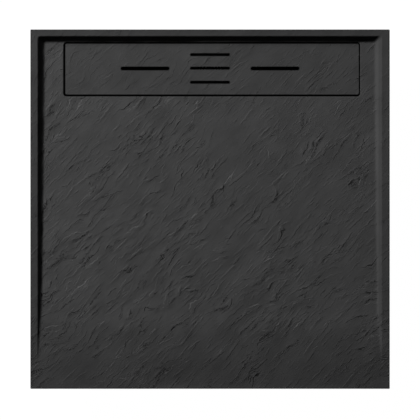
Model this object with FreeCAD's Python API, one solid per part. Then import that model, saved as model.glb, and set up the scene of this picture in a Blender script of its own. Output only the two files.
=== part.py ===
import FreeCAD, Part

import math
import os

# A square stone-resin shower tray with a slate-effect surface, set on five adjustable feet, with the
# linear drain cover, the waste and the trap that belong to it.
#
# Millimetres, +Z up. The origin is the middle of the footprint, on the bathroom floor. +Y is the back,
# where the drain channel lies; the step-in edge, which has no rim, is at -Y.

# ---------------------------------------------------------------- driving dimensions

# Tray body
tray_side = 900.0
tray_height = 40.0
underside_z = 115.0  # flat underside above the bathroom floor
skin_thickness = 2.5  # moulded surface skin over the cast core
outer_edge_radius = 2.0

# Basin, by the top edges of its walls
basin_left_x = -432.0
basin_right_x = 429.5
basin_back_y = 433.4
basin_depth = 15.0  # at the drain
side_wall_run = 1.0  # horizontal run per millimetre of depth: 45 degrees
back_wall_run = 0.8
level_front_y = 262.0  # the floor is level from the back wall to here
slope_front_y = -262.0  # then climbs gently to here
slope_front_depth = 9.5
entry_front_y = -376.0  # then ramps up to the rim's level here
basin_corner_radius = 8.0

# Recess of the drain cover, with the channel below it
recess_left_x, recess_right_x = -368.4, 377.0
recess_front_y, recess_back_y = 282.9, 419.4
recess_corner_radius = 8.0
ledge_depth = 10.0  # below the basin floor
ledge_width = 10.5
channel_end_depth = 16.0  # below the basin floor, at the channel's two ends
channel_waste_depth = 17.5  # and beside the waste
channel_level_half = 70.0  # level stretch each side of the waste
channel_corner_radius = 6.0

# Drain cover
cover_thickness = 8.0
cover_gap_left, cover_gap_right = 4.8, 2.8
cover_gap_front, cover_gap_back = 4.3, 3.8
cover_corner_radius = 4.5
cover_edge_radius = 0.6
side_slot_length, side_slot_width = 121.5, 8.4
side_slot_x, side_slot_y = 163.1, 353.1
middle_slot_length, middle_slot_width = 99.2, 6.5
middle_slot_ys = (387.8, 353.9, 318.5)
pad_length, pad_width = 20.0, 5.0
pad_inset = 3.4  # pad's centre line inside the cover's edge
pad_columns = (-320.0, -110.0, 110.0, 330.0)

# Waste, in the middle of the tray's width
waste_hole_radius = 45.0
seat_radius = 57.5
seat_depth = 3.0  # below the channel floor
flange_radius = 55.0
flange_thickness = 2.0
waste_bore_radius = 34.0
screw_circle_radius = 40.5
screw_count = 3
first_screw_turn = -90.0  # degrees; none of the screws lies under a slot of the cover
screw_shank_radius = 2.5
screw_head_radius = 4.4
screw_head_depth = 1.9
screw_length = 23.0
gasket_bore_radius = 46.0
upper_gasket_thickness = seat_depth - flange_thickness
lower_gasket_thickness = 2.0

# Trap
trap_flange_radius = 57.0
trap_plate_thickness = 4.0
trap_bowl_radius = 50.0
trap_wall = 3.0
trap_bottom_z = 15.0
trap_bowl_rounding = 5.0
trap_neck_radius = 31.2  # bore that the dip tube hangs in
trap_collar_wall = 2.8
trap_boss_radius = 5.5
trap_boss_length = 17.0

# Dip tube
dip_tube_radius = 30.0
dip_tube_wall = 2.0
dip_tube_bottom_z = 26.0
dip_lip_radius = 33.4
dip_lip_thickness = 3.0
dip_bar_width = 5.0
dip_bar_depth = 4.0
dip_tab_rise = 3.0
dip_tab_length = 24.0
seal_section_radius = 1.05
running_gap = 0.05

# Hair strainer
strainer_radius = 35.8
strainer_thickness = 1.2
strainer_ring_radius = 33.7
strainer_ring_wall = 0.9
strainer_ring_drop = 3.5
strainer_hole_radius = 2.0
strainer_hole_rows = ((13.0, 10), (20.0, 16), (27.0, 22))  # row radius, holes in the row
strainer_knob_radius = 6.0
strainer_knob_height = 6.0

# Ball-jointed outlet, towards +X
ball_x = 84.0
outlet_z = 78.0
ball_radius = 25.0
outlet_bore_radius = 18.0
outlet_pipe_radius = 20.0
outlet_pipe_end_x = 200.0
ball_back_length = 16.0  # of the ball, behind its centre
outlet_bead_x, outlet_bead_length, outlet_bead_radius = 136.0, 4.0, 22.5
socket_neck_radius = 21.5
socket_neck_end_x = 62.0
socket_thread_radius = 29.5
socket_flare_x = 66.0
outlet_seal_length = 3.0
nut_radius = 34.0
nut_back_x = 71.0
nut_grip = 10.0  # how far past the ball's centre the nut holds the ball
nut_front_x = 96.5
nut_mouth_radius = 24.6
nut_lug_count = 10
nut_lug_radius = 2.6

# Adjustable feet
foot_places = {
    "back_left": (-412.0, 400.0),
    "back_right": (412.0, 400.0),
    "front_left": (-400.0, -400.0),
    "front_right": (400.0, -400.0),
    "middle": (0.0, 0.0),
}
socket_plate_radius = 30.0
socket_plate_thickness = 4.0
socket_boss_radius = 15.0
socket_bottom_z = 75.0
socket_gusset_reach = 11.0
socket_gusset_height = 22.0
socket_gusset_thickness = 3.0
socket_gusset_turns = (60.0, 180.0, 300.0)  # degrees, between the screws
socket_screw_circle = 23.5
socket_screw_count = 3
socket_screw_radius = 2.1
socket_screw_head_radius = 4.0
socket_screw_head_height = 2.4
socket_screw_bite = 12.0  # into the core
rod_radius = 6.0
rod_bottom_z, rod_top_z = 8.0, 104.0
lock_nut_flats = 19.0
lock_nut_thickness = 8.0
foot_radius = 24.0
sole_radius = 22.5
sole_thickness = 2.0
foot_plate_top_z = 7.0
foot_neck_radius = 12.5
foot_neck_z = 15.0
foot_hex_flats = 17.0
foot_top_z = 23.0

# ---------------------------------------------------------------- worked out from them

half = tray_side / 2
rim_z = underside_z + tray_height
floor_z = rim_z - basin_depth
ledge_z = floor_z - ledge_depth
channel_z = floor_z - channel_waste_depth
seat_z = channel_z - seat_depth
flange_bottom_z = seat_z + upper_gasket_thickness
flange_top_z = flange_bottom_z + flange_thickness
trap_plate_top_z = underside_z - lower_gasket_thickness
trap_plate_bottom_z = trap_plate_top_z - trap_plate_thickness
waste_y = (recess_front_y + recess_back_y) / 2
waste_centre = (0.0, waste_y)
clear = 10.0  # how far a cutting shape runs past what it cuts
overlap = 1.0  # how far shapes that are joined into one piece run into each other
tiny = 1e-3


# ---------------------------------------------------------------- shapes that several pieces use


def vector(x, y, z):
    return FreeCAD.Vector(x, y, z)


def prism(points, along):
    """A flat outline of (x, y, z) corners, carried along a vector."""
    corners = [vector(*point) for point in points]
    outline = Part.makePolygon(corners + corners[:1])
    return Part.Face(outline).extrude(vector(*along))


def cylinder(radius, bottom_z, top_z, centre=(0.0, 0.0)):
    """An upright cylinder."""
    return Part.makeCylinder(radius, top_z - bottom_z, vector(*centre, bottom_z))


def ring(outer, inner, bottom_z, top_z, centre=(0.0, 0.0)):
    """An upright round ring."""
    return cylinder(outer, bottom_z, top_z, centre).cut(
        cylinder(inner, bottom_z - clear, top_z + clear, centre)
    )


def hexagon(flats, bottom_z, top_z, centre):
    """An upright hexagonal bar, by its width across flats."""
    reach = flats / 2 / math.cos(math.pi / 6)
    corners = []
    for step in range(6):
        turn = step * math.pi / 3
        x, y = centre[0] + reach * math.cos(turn), centre[1] + reach * math.sin(turn)
        corners.append((x, y, bottom_z))
    return prism(corners, (0, 0, top_z - bottom_z))


def rounded_block(left, right, front, back, radius, bottom_z, top_z):
    """An upright block with its four upright edges rounded."""
    block = Part.makeBox(right - left, back - front, top_z - bottom_z, vector(left, front, bottom_z))
    upright = [edge for edge in block.Edges if edge.BoundBox.ZLength > tiny]
    return block.makeFillet(radius, upright)


def slot_bar(centre_x, centre_y, length, width, bottom_z, top_z):
    """A bar along X with round ends: the shape of one slot."""
    left, right = centre_x - length / 2, centre_x + length / 2
    end = width / 2
    return rounded_block(left, right, centre_y - end, centre_y + end, end - tiny, bottom_z, top_z)


def arc_middle(radius, centre, start, end):
    """Middle point of the arc about a centre from start to end, all as flat pairs."""
    first = math.atan2(start[1] - centre[1], start[0] - centre[0])
    last = math.atan2(end[1] - centre[1], end[0] - centre[0])
    middle = (first + last) / 2
    return (centre[0] + radius * math.cos(middle), centre[1] + radius * math.sin(middle))


def turned(outline, place, axis_point, axis):
    """A closed outline of lines and arcs, turned once round an axis.

    The outline is a list of corners; a corner given as (middle, end) is reached by an arc through middle.
    place puts a flat pair into space.
    """
    edges = []
    start = outline[0]
    for step in outline[1:] + [outline[0]]:
        if isinstance(step[0], tuple):
            middle, end = step
            edges.append(Part.Arc(place(start), place(middle), place(end)).toShape())
        else:
            end = step
            edges.append(Part.makeLine(place(start), place(end)))
        start = end
    return Part.Face(Part.Wire(edges)).revolve(axis_point, axis, 360)


def upright_turned(outline, centre):
    """An outline of (radius, z) pairs turned round an upright axis."""

    def place(pair):
        return vector(centre[0] + pair[0], centre[1], pair[1])

    return turned(outline, place, vector(*centre, 0), vector(0, 0, 1))


def outlet_turned(outline):
    """An outline of (x, radius) pairs turned round the outlet's level axis."""

    def place(pair):
        return vector(pair[0], waste_y, outlet_z + pair[1])

    return turned(outline, place, vector(0, waste_y, outlet_z), vector(1, 0, 0))


def level_cylinder(radius, back_x, front_x):
    """A cylinder on the outlet's level axis."""
    return Part.makeCylinder(radius, front_x - back_x, vector(back_x, waste_y, outlet_z), vector(1, 0, 0))


def round_places(count, radius, centre, first_turn=0.0):
    """Points spaced evenly round a circle."""
    places = []
    for step in range(count):
        turn = first_turn + 2 * math.pi * step / count
        places.append((centre[0] + radius * math.cos(turn), centre[1] + radius * math.sin(turn)))
    return places


def save(name, shape):
    """Write one piece, or one group of like pieces, and print what it is."""
    solids = shape.Solids
    print("%-24s %2d solid(s) %12.1f mm3 %s" % (name, len(solids), shape.Volume, shape.isValid()))
    shape.exportStep("parts/%s.step" % name)


# ---------------------------------------------------------------- tray


def crossing(first, second):
    """Where two lines z = height + slope * y meet, each given as (height at y = 0, slope)."""
    y = (second[0] - first[0]) / (first[1] - second[1])
    return y, first[0] + first[1] * y


def line_through(y, z, slope, inset):
    """A floor line through a point, moved into the material by inset, square to itself."""
    return z - slope * y - inset * math.hypot(1, slope), slope


def basin_void(inset):
    """What the basin takes out of the tray. inset moves all its faces into the material, for the core."""
    top = rim_z + clear
    deep = rim_z - 2 * basin_depth
    shift = inset * math.hypot(1, side_wall_run)
    wedge = prism(
        [
            (basin_left_x - shift - clear * side_wall_run, -half - clear, top),
            (basin_right_x + shift + clear * side_wall_run, -half - clear, top),
            (basin_right_x + shift - (rim_z - deep) * side_wall_run, -half - clear, deep),
            (basin_left_x - shift + (rim_z - deep) * side_wall_run, -half - clear, deep),
        ],
        (0, tray_side + 2 * clear, 0),
    )
    foot_y = basin_back_y - basin_depth * back_wall_run
    gentle = (slope_front_depth - basin_depth) / (level_front_y - slope_front_y)
    steep = -slope_front_depth / (slope_front_y - entry_front_y)
    back_wall = line_through(foot_y, floor_z, 1 / back_wall_run, inset)
    level = line_through(level_front_y, floor_z, 0.0, inset)
    slope = line_through(level_front_y, floor_z, gentle, inset)
    entry = line_through(entry_front_y, rim_z, steep, inset)
    lid = (top, 0.0)
    chain = [lid, back_wall, level, slope, entry, lid]
    corners = [crossing(first, second) for first, second in zip(chain, chain[1:])]
    side_view = prism([(-half - clear, y, z) for y, z in corners], (tray_side + 2 * clear, 0, 0))
    void = wedge.common(side_view).Solids[0]
    corner_edges = []
    for edge in void.Edges:
        box = edge.BoundBox
        if box.YMin > level_front_y and box.ZLength > basin_depth / 2:
            corner_edges.append(edge)
    return void.makeFillet(basin_corner_radius + inset, corner_edges)


def drain_void(inset):
    """What the cover's recess, the channel under it and the waste's seat take out of the tray."""
    recess = rounded_block(
        recess_left_x - inset,
        recess_right_x + inset,
        recess_front_y - inset,
        recess_back_y + inset,
        recess_corner_radius + inset,
        ledge_z - inset,
        floor_z + overlap,
    )
    channel = rounded_block(
        recess_left_x + ledge_width - inset,
        recess_right_x - ledge_width + inset,
        recess_front_y + ledge_width - inset,
        recess_back_y - ledge_width + inset,
        channel_corner_radius + inset,
        seat_z - inset,
        ledge_z + overlap,
    )
    end_z = floor_z - channel_end_depth - inset
    middle_z = channel_z - inset
    fall = prism(
        [
            (recess_left_x, recess_front_y, end_z),
            (-channel_level_half, recess_front_y, middle_z),
            (channel_level_half, recess_front_y, middle_z),
            (recess_right_x, recess_front_y, end_z),
            (recess_right_x, recess_front_y, rim_z),
            (recess_left_x, recess_front_y, rim_z),
        ],
        (0, recess_back_y - recess_front_y, 0),
    )
    seat = cylinder(seat_radius + inset, seat_z - inset, ledge_z, waste_centre)
    return recess.fuse(channel.common(fall)).fuse(seat)


def waste_hole():
    return cylinder(waste_hole_radius, underside_z - clear, floor_z, waste_centre)


def core_blank():
    """The cast core before its waste hole and screw holes are made."""
    side = half - skin_thickness
    block = Part.makeBox(
        2 * side, 2 * side, tray_height - skin_thickness, vector(-side, -side, underside_z)
    )
    return block.cut(basin_void(skin_thickness)).cut(drain_void(skin_thickness))


def tray_skin(blank):
    """The slate-effect skin: it wraps the core's top and its four sides."""
    block = Part.makeBox(tray_side, tray_side, tray_height, vector(-half, -half, underside_z))
    outer_edges = [edge for edge in block.Edges if edge.BoundBox.ZMax > rim_z - tiny]
    block = block.makeFillet(outer_edge_radius, outer_edges)
    block = block.cut(basin_void(0.0)).cut(drain_void(0.0))
    return block.cut(blank).cut(waste_hole())


def tray_core(blank):
    """The cast stone-resin core, with the pilot holes of the foot screws."""
    core = blank.cut(waste_hole())
    for foot in foot_places.values():
        for place in round_places(socket_screw_count, socket_screw_circle, foot):
            core = core.cut(
                cylinder(socket_screw_radius, underside_z - clear, underside_z + socket_screw_bite, place)
            )
    return core


# ---------------------------------------------------------------- drain cover

cover_left = recess_left_x + cover_gap_left
cover_right = recess_right_x - cover_gap_right
cover_front = recess_front_y + cover_gap_front
cover_back = recess_back_y - cover_gap_back
cover_bottom_z = floor_z - cover_thickness


def drain_cover():
    """The slate-effect panel with its five slots, flush with the basin floor."""
    panel = rounded_block(
        cover_left, cover_right, cover_front, cover_back, cover_corner_radius, cover_bottom_z, floor_z
    )
    top_edges = [edge for edge in panel.Edges if edge.BoundBox.ZMin > floor_z - tiny]
    panel = panel.makeFillet(cover_edge_radius, top_edges)
    low, high = cover_bottom_z - clear, floor_z + clear
    for side in (-1, 1):
        panel = panel.cut(
            slot_bar(side * side_slot_x, side_slot_y, side_slot_length, side_slot_width, low, high)
        )
    for y in middle_slot_ys:
        panel = panel.cut(slot_bar(0.0, y, middle_slot_length, middle_slot_width, low, high))
    return panel


def cover_pads():
    """Rubber pads under the cover's edge: four along each long side and one at each end."""
    pads = []

    def pad(x, y, length, width):
        corner = vector(x - length / 2, y - width / 2, ledge_z)
        pads.append(Part.makeBox(length, width, cover_bottom_z - ledge_z, corner))

    for x in pad_columns:
        pad(x, cover_front + pad_inset, pad_length, pad_width)
        pad(x, cover_back - pad_inset, pad_length, pad_width)
    pad(cover_left + pad_inset, waste_y, pad_width, pad_length)
    pad(cover_right - pad_inset, waste_y, pad_width, pad_length)
    return Part.makeCompound(pads)


# ---------------------------------------------------------------- waste and trap

flange_screw_places = round_places(
    screw_count, screw_circle_radius, waste_centre, math.radians(first_screw_turn)
)


def flange_screw(place):
    """One countersunk screw, its head flush with the flange."""
    return upright_turned(
        [
            (0.0, flange_top_z),
            (screw_head_radius, flange_top_z),
            (screw_shank_radius, flange_top_z - screw_head_depth),
            (screw_shank_radius, flange_top_z - screw_length),
            (0.0, flange_top_z - screw_length),
        ],
        place,
    )


def waste_flange():
    """The ring screwed down over the waste hole, flush with the channel floor."""
    flange = ring(flange_radius, waste_bore_radius, flange_bottom_z, flange_top_z, waste_centre)
    for place in flange_screw_places:
        flange = flange.cut(flange_screw(place))
    return flange


def trap_top():
    """The trap's plate under the tray, with the collar in the waste hole and the screw bosses below."""
    collar_radius = waste_bore_radius + trap_collar_wall
    top = upright_turned(
        [
            (trap_neck_radius, trap_plate_bottom_z),
            (trap_flange_radius, trap_plate_bottom_z),
            (trap_flange_radius, trap_plate_top_z),
            (collar_radius, trap_plate_top_z),
            (collar_radius, flange_bottom_z),
            (waste_bore_radius, flange_bottom_z),
            (waste_bore_radius, trap_plate_top_z),
            (trap_neck_radius, trap_plate_top_z),
        ],
        waste_centre,
    )
    boss_bottom_z = trap_plate_top_z - trap_boss_length
    for place in flange_screw_places:
        top = top.fuse(cylinder(trap_boss_radius, boss_bottom_z, trap_plate_bottom_z + overlap, place))
    for place in flange_screw_places:
        top = top.cut(flange_screw(place))
    return top.removeSplitter()


def trap_bowl():
    """The trap's bowl, welded under the plate, with the hole that the outlet's socket is welded into."""
    inner = trap_bowl_radius - trap_wall
    inside_bottom_z = trap_bottom_z + trap_wall
    outer_turn = (trap_bowl_radius - trap_bowl_rounding, trap_bottom_z + trap_bowl_rounding)
    inner_turn = (inner - trap_bowl_rounding, inside_bottom_z + trap_bowl_rounding)
    outer_start = (outer_turn[0], trap_bottom_z)
    outer_end = (trap_bowl_radius, outer_turn[1])
    inner_start = (inner, inner_turn[1])
    inner_end = (inner_turn[0], inside_bottom_z)
    bowl = upright_turned(
        [
            (0.0, trap_bottom_z),
            outer_start,
            (arc_middle(trap_bowl_rounding, outer_turn, outer_start, outer_end), outer_end),
            (trap_bowl_radius, trap_plate_bottom_z),
            (inner, trap_plate_bottom_z),
            inner_start,
            (arc_middle(trap_bowl_rounding, inner_turn, inner_start, inner_end), inner_end),
            (0.0, inside_bottom_z),
        ],
        waste_centre,
    )
    return bowl.cut(level_cylinder(socket_neck_radius, 0.0, ball_x))


def on_ball(radius, x):
    """How far a sphere about the ball's centre reaches from the outlet's axis, at x."""
    return math.sqrt(radius**2 - (x - ball_x) ** 2)


def outlet_socket():
    """The neck welded into the bowl's side, which flares into the threaded seat of the ball joint."""
    seat = ball_radius + running_gap
    seat_back_x = ball_x - math.sqrt(seat**2 - outlet_bore_radius**2)
    inner = trap_bowl_radius - trap_wall
    start = (ball_x, seat)
    end = (seat_back_x, outlet_bore_radius)
    socket = outlet_turned(
        [
            (inner / 2, outlet_bore_radius),
            (inner / 2, socket_neck_radius),
            (socket_neck_end_x, socket_neck_radius),
            (socket_flare_x, socket_thread_radius),
            (ball_x, socket_thread_radius),
            start,
            (arc_middle(seat, (ball_x, 0.0), start, end), end),
        ]
    )
    return socket.cut(cylinder(inner, trap_bottom_z, trap_plate_top_z, waste_centre))


def outlet_seal():
    """Rubber ring squeezed between the socket's end and the nut, round the ball."""
    seat = ball_radius + running_gap
    front_x = ball_x + outlet_seal_length
    start = (front_x, on_ball(seat, front_x))
    end = (ball_x, seat)
    return outlet_turned(
        [
            (ball_x, socket_thread_radius),
            (front_x, socket_thread_radius),
            start,
            (arc_middle(seat, (ball_x, 0.0), start, end), end),
        ]
    )


def outlet_nut():
    """The union nut: screwed over the socket, it holds the ball by its front half."""
    seat = ball_radius + running_gap
    shoulder_x = ball_x + outlet_seal_length
    grip_x = ball_x + nut_grip
    start = (grip_x, on_ball(seat, grip_x))
    end = (shoulder_x, on_ball(seat, shoulder_x))
    nut = outlet_turned(
        [
            (nut_back_x, socket_thread_radius),
            (nut_back_x, nut_radius),
            (nut_front_x, nut_radius),
            (nut_front_x, nut_mouth_radius),
            start,
            (arc_middle(seat, (ball_x, 0.0), start, end), end),
            (shoulder_x, socket_thread_radius),
        ]
    )
    for y, z in round_places(nut_lug_count, nut_radius, (waste_y, outlet_z)):
        groove = Part.makeCylinder(
            nut_lug_radius, nut_front_x - nut_back_x, vector(nut_back_x, y, z), vector(1, 0, 0)
        )
        nut = nut.cut(groove)
    return nut


def outlet_spigot():
    """The ball-ended pipe that the waste pipe is pushed onto, with its stop bead."""
    back_x = ball_x - ball_back_length
    neck_x = ball_x + math.sqrt(ball_radius**2 - outlet_pipe_radius**2)
    start = (back_x, on_ball(ball_radius, back_x))
    end = (neck_x, outlet_pipe_radius)
    return outlet_turned(
        [
            (back_x, outlet_bore_radius),
            start,
            ((ball_x, ball_radius), end),
            (outlet_bead_x, outlet_pipe_radius),
            (outlet_bead_x, outlet_bead_radius),
            (outlet_bead_x + outlet_bead_length, outlet_bead_radius),
            (outlet_bead_x + outlet_bead_length, outlet_pipe_radius),
            (outlet_pipe_end_x, outlet_pipe_radius),
            (outlet_pipe_end_x, outlet_bore_radius),
        ]
    )


seal_z = (trap_plate_top_z + trap_plate_bottom_z) / 2
seal_circle_radius = trap_neck_radius - running_gap - seal_section_radius


def dip_tube():
    """The lift-out tube whose foot stands in the water; its lip hangs on the trap's neck."""
    lip_top_z = trap_plate_top_z + dip_lip_thickness
    groove_half = seal_section_radius + running_gap
    groove_radius = seal_circle_radius - seal_section_radius - running_gap
    bore = dip_tube_radius - dip_tube_wall
    tube = upright_turned(
        [
            (bore, dip_tube_bottom_z),
            (dip_tube_radius, dip_tube_bottom_z),
            (dip_tube_radius, seal_z - groove_half),
            (groove_radius, seal_z - groove_half),
            (groove_radius, seal_z + groove_half),
            (dip_tube_radius, seal_z + groove_half),
            (dip_tube_radius, trap_plate_top_z),
            (dip_lip_radius, trap_plate_top_z),
            (dip_lip_radius, lip_top_z),
            (bore, lip_top_z),
        ],
        waste_centre,
    )
    bar = Part.makeBox(
        2 * bore + dip_tube_wall,
        dip_bar_width,
        dip_bar_depth,
        vector(-bore - dip_tube_wall / 2, waste_y - dip_bar_width / 2, lip_top_z - dip_bar_depth),
    )
    tab = Part.makeBox(
        dip_tab_length,
        dip_bar_width,
        dip_tab_rise + overlap,
        vector(-dip_tab_length / 2, waste_y - dip_bar_width / 2, lip_top_z - overlap),
    )
    return tube.fuse(bar).fuse(tab).removeSplitter()


def dip_tube_seal():
    """O-ring in the dip tube's groove."""
    return Part.makeTorus(seal_circle_radius, seal_section_radius, vector(*waste_centre, seal_z))


def hair_strainer():
    """The perforated disc that drops into the flange, with its knob."""
    top_z = flange_top_z + strainer_thickness
    strainer = cylinder(strainer_radius, flange_top_z, top_z, waste_centre)
    strainer = strainer.fuse(
        ring(
            strainer_ring_radius,
            strainer_ring_radius - strainer_ring_wall,
            flange_top_z - strainer_ring_drop,
            flange_top_z,
            waste_centre,
        )
    )
    for radius, count in strainer_hole_rows:
        for place in round_places(count, radius, waste_centre):
            strainer = strainer.cut(
                cylinder(strainer_hole_radius, flange_top_z - clear, top_z + clear, place)
            )
    knob = upright_turned(
        [
            (0.0, top_z - strainer_thickness / 2),
            (strainer_knob_radius / 2, top_z - strainer_thickness / 2),
            (strainer_knob_radius / 2, top_z + strainer_knob_height / 2),
            (strainer_knob_radius, top_z + strainer_knob_height * 2 / 3),
            (strainer_knob_radius, top_z + strainer_knob_height),
            (0.0, top_z + strainer_knob_height),
        ],
        waste_centre,
    )
    return strainer.fuse(knob).removeSplitter()


# ---------------------------------------------------------------- feet


def foot_socket(foot):
    """The leg socket: a round plate under the tray with a long boss, braced by three gussets."""
    plate_bottom_z = underside_z - socket_plate_thickness
    socket = cylinder(socket_plate_radius, plate_bottom_z, underside_z, foot)
    socket = socket.fuse(cylinder(socket_boss_radius, socket_bottom_z, plate_bottom_z, foot))
    inside = socket_boss_radius - overlap
    reach = socket_boss_radius + socket_gusset_reach
    for turn in socket_gusset_turns:
        gusset = prism(
            [
                (inside, -socket_gusset_thickness / 2, plate_bottom_z),
                (reach, -socket_gusset_thickness / 2, plate_bottom_z),
                (inside, -socket_gusset_thickness / 2, plate_bottom_z - socket_gusset_height),
            ],
            (0, socket_gusset_thickness, 0),
        )
        gusset.rotate(vector(0, 0, 0), vector(0, 0, 1), turn)
        gusset.translate(vector(*foot, 0))
        socket = socket.fuse(gusset)
    socket = socket.cut(
        cylinder(rod_radius + running_gap, socket_bottom_z - clear, underside_z + clear, foot)
    )
    for place in round_places(socket_screw_count, socket_screw_circle, foot):
        hole = cylinder(socket_screw_radius, plate_bottom_z - clear, underside_z + clear, place)
        socket = socket.cut(hole)
    return socket


def socket_screw(place):
    """A pan-head screw through the socket's plate into the core."""
    head_top_z = underside_z - socket_plate_thickness
    head = cylinder(
        socket_screw_head_radius, head_top_z - socket_screw_head_height, head_top_z, place
    )
    return head.fuse(cylinder(socket_screw_radius, head_top_z, underside_z + socket_screw_bite, place))


def foot_lock_nut(foot):
    """The nut run up against the socket, so that the rod can't turn."""
    bottom_z = socket_bottom_z - lock_nut_thickness
    nut = hexagon(lock_nut_flats, bottom_z, socket_bottom_z, foot)
    bore = cylinder(rod_radius + running_gap, bottom_z - clear, socket_bottom_z + clear, foot)
    return nut.cut(bore)


def foot_pad(foot):
    """The moulded foot: a round plate that rises to a hexagonal neck, in which the rod is set."""
    plate = upright_turned(
        [
            (0.0, sole_thickness),
            (foot_radius, sole_thickness),
            (foot_radius, foot_plate_top_z),
            (foot_neck_radius, foot_neck_z),
            (0.0, foot_neck_z),
        ],
        foot,
    )
    pad = plate.fuse(hexagon(foot_hex_flats, foot_neck_z - overlap, foot_top_z, foot))
    return pad.cut(cylinder(rod_radius, rod_bottom_z, foot_top_z + clear, foot)).removeSplitter()


# ---------------------------------------------------------------- write the pieces

os.makedirs("parts", exist_ok=True)

blank = core_blank()
save("tray_skin", tray_skin(blank))
save("tray_core", tray_core(blank))
save("drain_cover", drain_cover())
save("cover_pads", cover_pads())
save("waste_flange", waste_flange())
save("flange_screws", Part.makeCompound([flange_screw(place) for place in flange_screw_places]))
save("upper_gasket", ring(flange_radius, gasket_bore_radius, seat_z, flange_bottom_z, waste_centre))
lower_gasket = ring(trap_flange_radius, gasket_bore_radius, trap_plate_top_z, underside_z, waste_centre)
save("lower_gasket", lower_gasket)
save("trap_top", trap_top())
save("trap_bowl", trap_bowl())
save("outlet_socket", outlet_socket())
save("dip_tube", dip_tube())
save("dip_tube_seal", dip_tube_seal())
save("hair_strainer", hair_strainer())
save("outlet_seal", outlet_seal())
save("outlet_nut", outlet_nut())
save("outlet_spigot", outlet_spigot())

feet = list(foot_places.values())
screw_places = []
for foot in feet:
    screw_places += round_places(socket_screw_count, socket_screw_circle, foot)
save("foot_sockets", Part.makeCompound([foot_socket(foot) for foot in feet]))
save("socket_screws", Part.makeCompound([socket_screw(place) for place in screw_places]))
save("foot_lock_nuts", Part.makeCompound([foot_lock_nut(foot) for foot in feet]))
for name, foot in foot_places.items():
    save("foot_rod_" + name, cylinder(rod_radius, rod_bottom_z, rod_top_z, foot))
    save("foot_pad_" + name, foot_pad(foot))
    save("foot_rubber_" + name, cylinder(sole_radius, 0.0, sole_thickness, foot))
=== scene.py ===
"""The looks of a square slate-effect shower tray, from the tray itself down to its feet."""

import math

import bmesh
import bpy
import numpy as np
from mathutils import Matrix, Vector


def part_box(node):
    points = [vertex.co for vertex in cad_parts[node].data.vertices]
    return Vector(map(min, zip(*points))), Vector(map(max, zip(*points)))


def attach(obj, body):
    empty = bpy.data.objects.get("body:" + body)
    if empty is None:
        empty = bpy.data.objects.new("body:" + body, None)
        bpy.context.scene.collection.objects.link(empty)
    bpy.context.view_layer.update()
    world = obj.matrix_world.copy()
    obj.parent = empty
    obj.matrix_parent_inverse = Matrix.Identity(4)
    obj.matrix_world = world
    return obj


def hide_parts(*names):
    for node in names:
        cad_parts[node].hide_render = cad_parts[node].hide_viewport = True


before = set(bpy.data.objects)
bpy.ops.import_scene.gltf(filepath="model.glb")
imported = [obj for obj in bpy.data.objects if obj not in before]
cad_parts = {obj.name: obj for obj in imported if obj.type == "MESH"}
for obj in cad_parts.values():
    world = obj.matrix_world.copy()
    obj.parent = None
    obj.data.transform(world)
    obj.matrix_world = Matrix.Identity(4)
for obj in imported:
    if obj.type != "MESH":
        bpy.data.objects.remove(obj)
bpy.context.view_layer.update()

# ------------------------------ camera
# The photograph looks straight down on the tray from far off, so its sides can't be seen. A long lens
# stands over the tray at the distance that gives the tray its width in the frame.

mm = 0.001
tray_low, tray_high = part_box("tray_skin")
tray_side = tray_high.x - tray_low.x
frame_pixels = 420
tray_pixels = 359.45
tray_centre_pixel = (210.05, 209.15)
pixel = tray_side / tray_pixels
lens, sensor = 200.0, 36.0

camera_data = bpy.data.cameras.new("camera")
camera_data.lens = lens
camera_data.sensor_width = sensor
camera_data.clip_end = 50.0
camera = bpy.data.objects.new("camera", camera_data)
camera.location = (
    (frame_pixels / 2 - tray_centre_pixel[0]) * pixel,
    (tray_centre_pixel[1] - frame_pixels / 2) * pixel,
    tray_high.z + frame_pixels * pixel * lens / sensor,
)
bpy.context.scene.collection.objects.link(camera)
bpy.context.scene.camera = camera

# ------------------------------ tray skin
# A black gel coat about 2.5 mm thick, cast in a mould taken from riven slate. It wraps the core's top
# and sides and lines the recess, the drain channel and the waste's seat in one sheet.

rim_z = tray_high.z / mm
half = tray_side / mm / 2
skirt = rim_z - tray_low.z / mm
skin, edge_radius = 2.5, 2.0
wall_left, wall_right, wall_back = -432.0, 429.5, 433.4
back_run = 0.8  # the back wall's run for each millimetre that it falls; the side walls' is one
deepest, slope_depth = 15.0, 9.5
level_front, slope_front, entry_front = 262.0, -262.0, -376.0
floor_z = rim_z - deepest
recess = (-368.4, 377.0, 282.9, 419.4)  # left, right, front, back
recess_corner, recess_edge = 8.0, 0.35
raster_side, raster_step = 1000.0, 1.0
raster_count = int(raster_side / raster_step)
grain = math.radians(47)
swells = ((0.45, 90, 40), (0.16, 34, 13), (0.035, 9, 5))  # height, length along the grain, width
bends = ((5.0, 34, 30), (1.0, 9, 9), (0.4, 4.5, 4.5))  # shift, length along the grain, width
flake_count, highest_flake, back_facing = 2800, 0.70, 0.46
lip_width, lip_reach = 1.3, 5.0
wall_calm, skirt_strength = 0.7, 0.3  # how much less riven the walls are, and how riven the four sides


def bell_noise(draw, along, across, turn):
    """Random heights smoothed by a bell curve, longer along one direction than across it.

    White noise is multiplied, in frequency, by the bell's own transform, and brought to unit spread.
    """
    up = np.fft.fftfreq(raster_count, raster_step)[:, None]
    right = np.fft.rfftfreq(raster_count, raster_step)[None, :]
    lengthwise = right * math.cos(turn) + up * math.sin(turn)
    crosswise = up * math.cos(turn) - right * math.sin(turn)
    gain = np.exp(-((math.pi * lengthwise * along) ** 2 + (math.pi * crosswise * across) ** 2) / 2)
    white = np.fft.rfft2(draw.standard_normal((raster_count, raster_count)))
    heights = np.fft.irfft2(white * gain, s=(raster_count, raster_count))
    return heights / heights.std()


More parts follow.
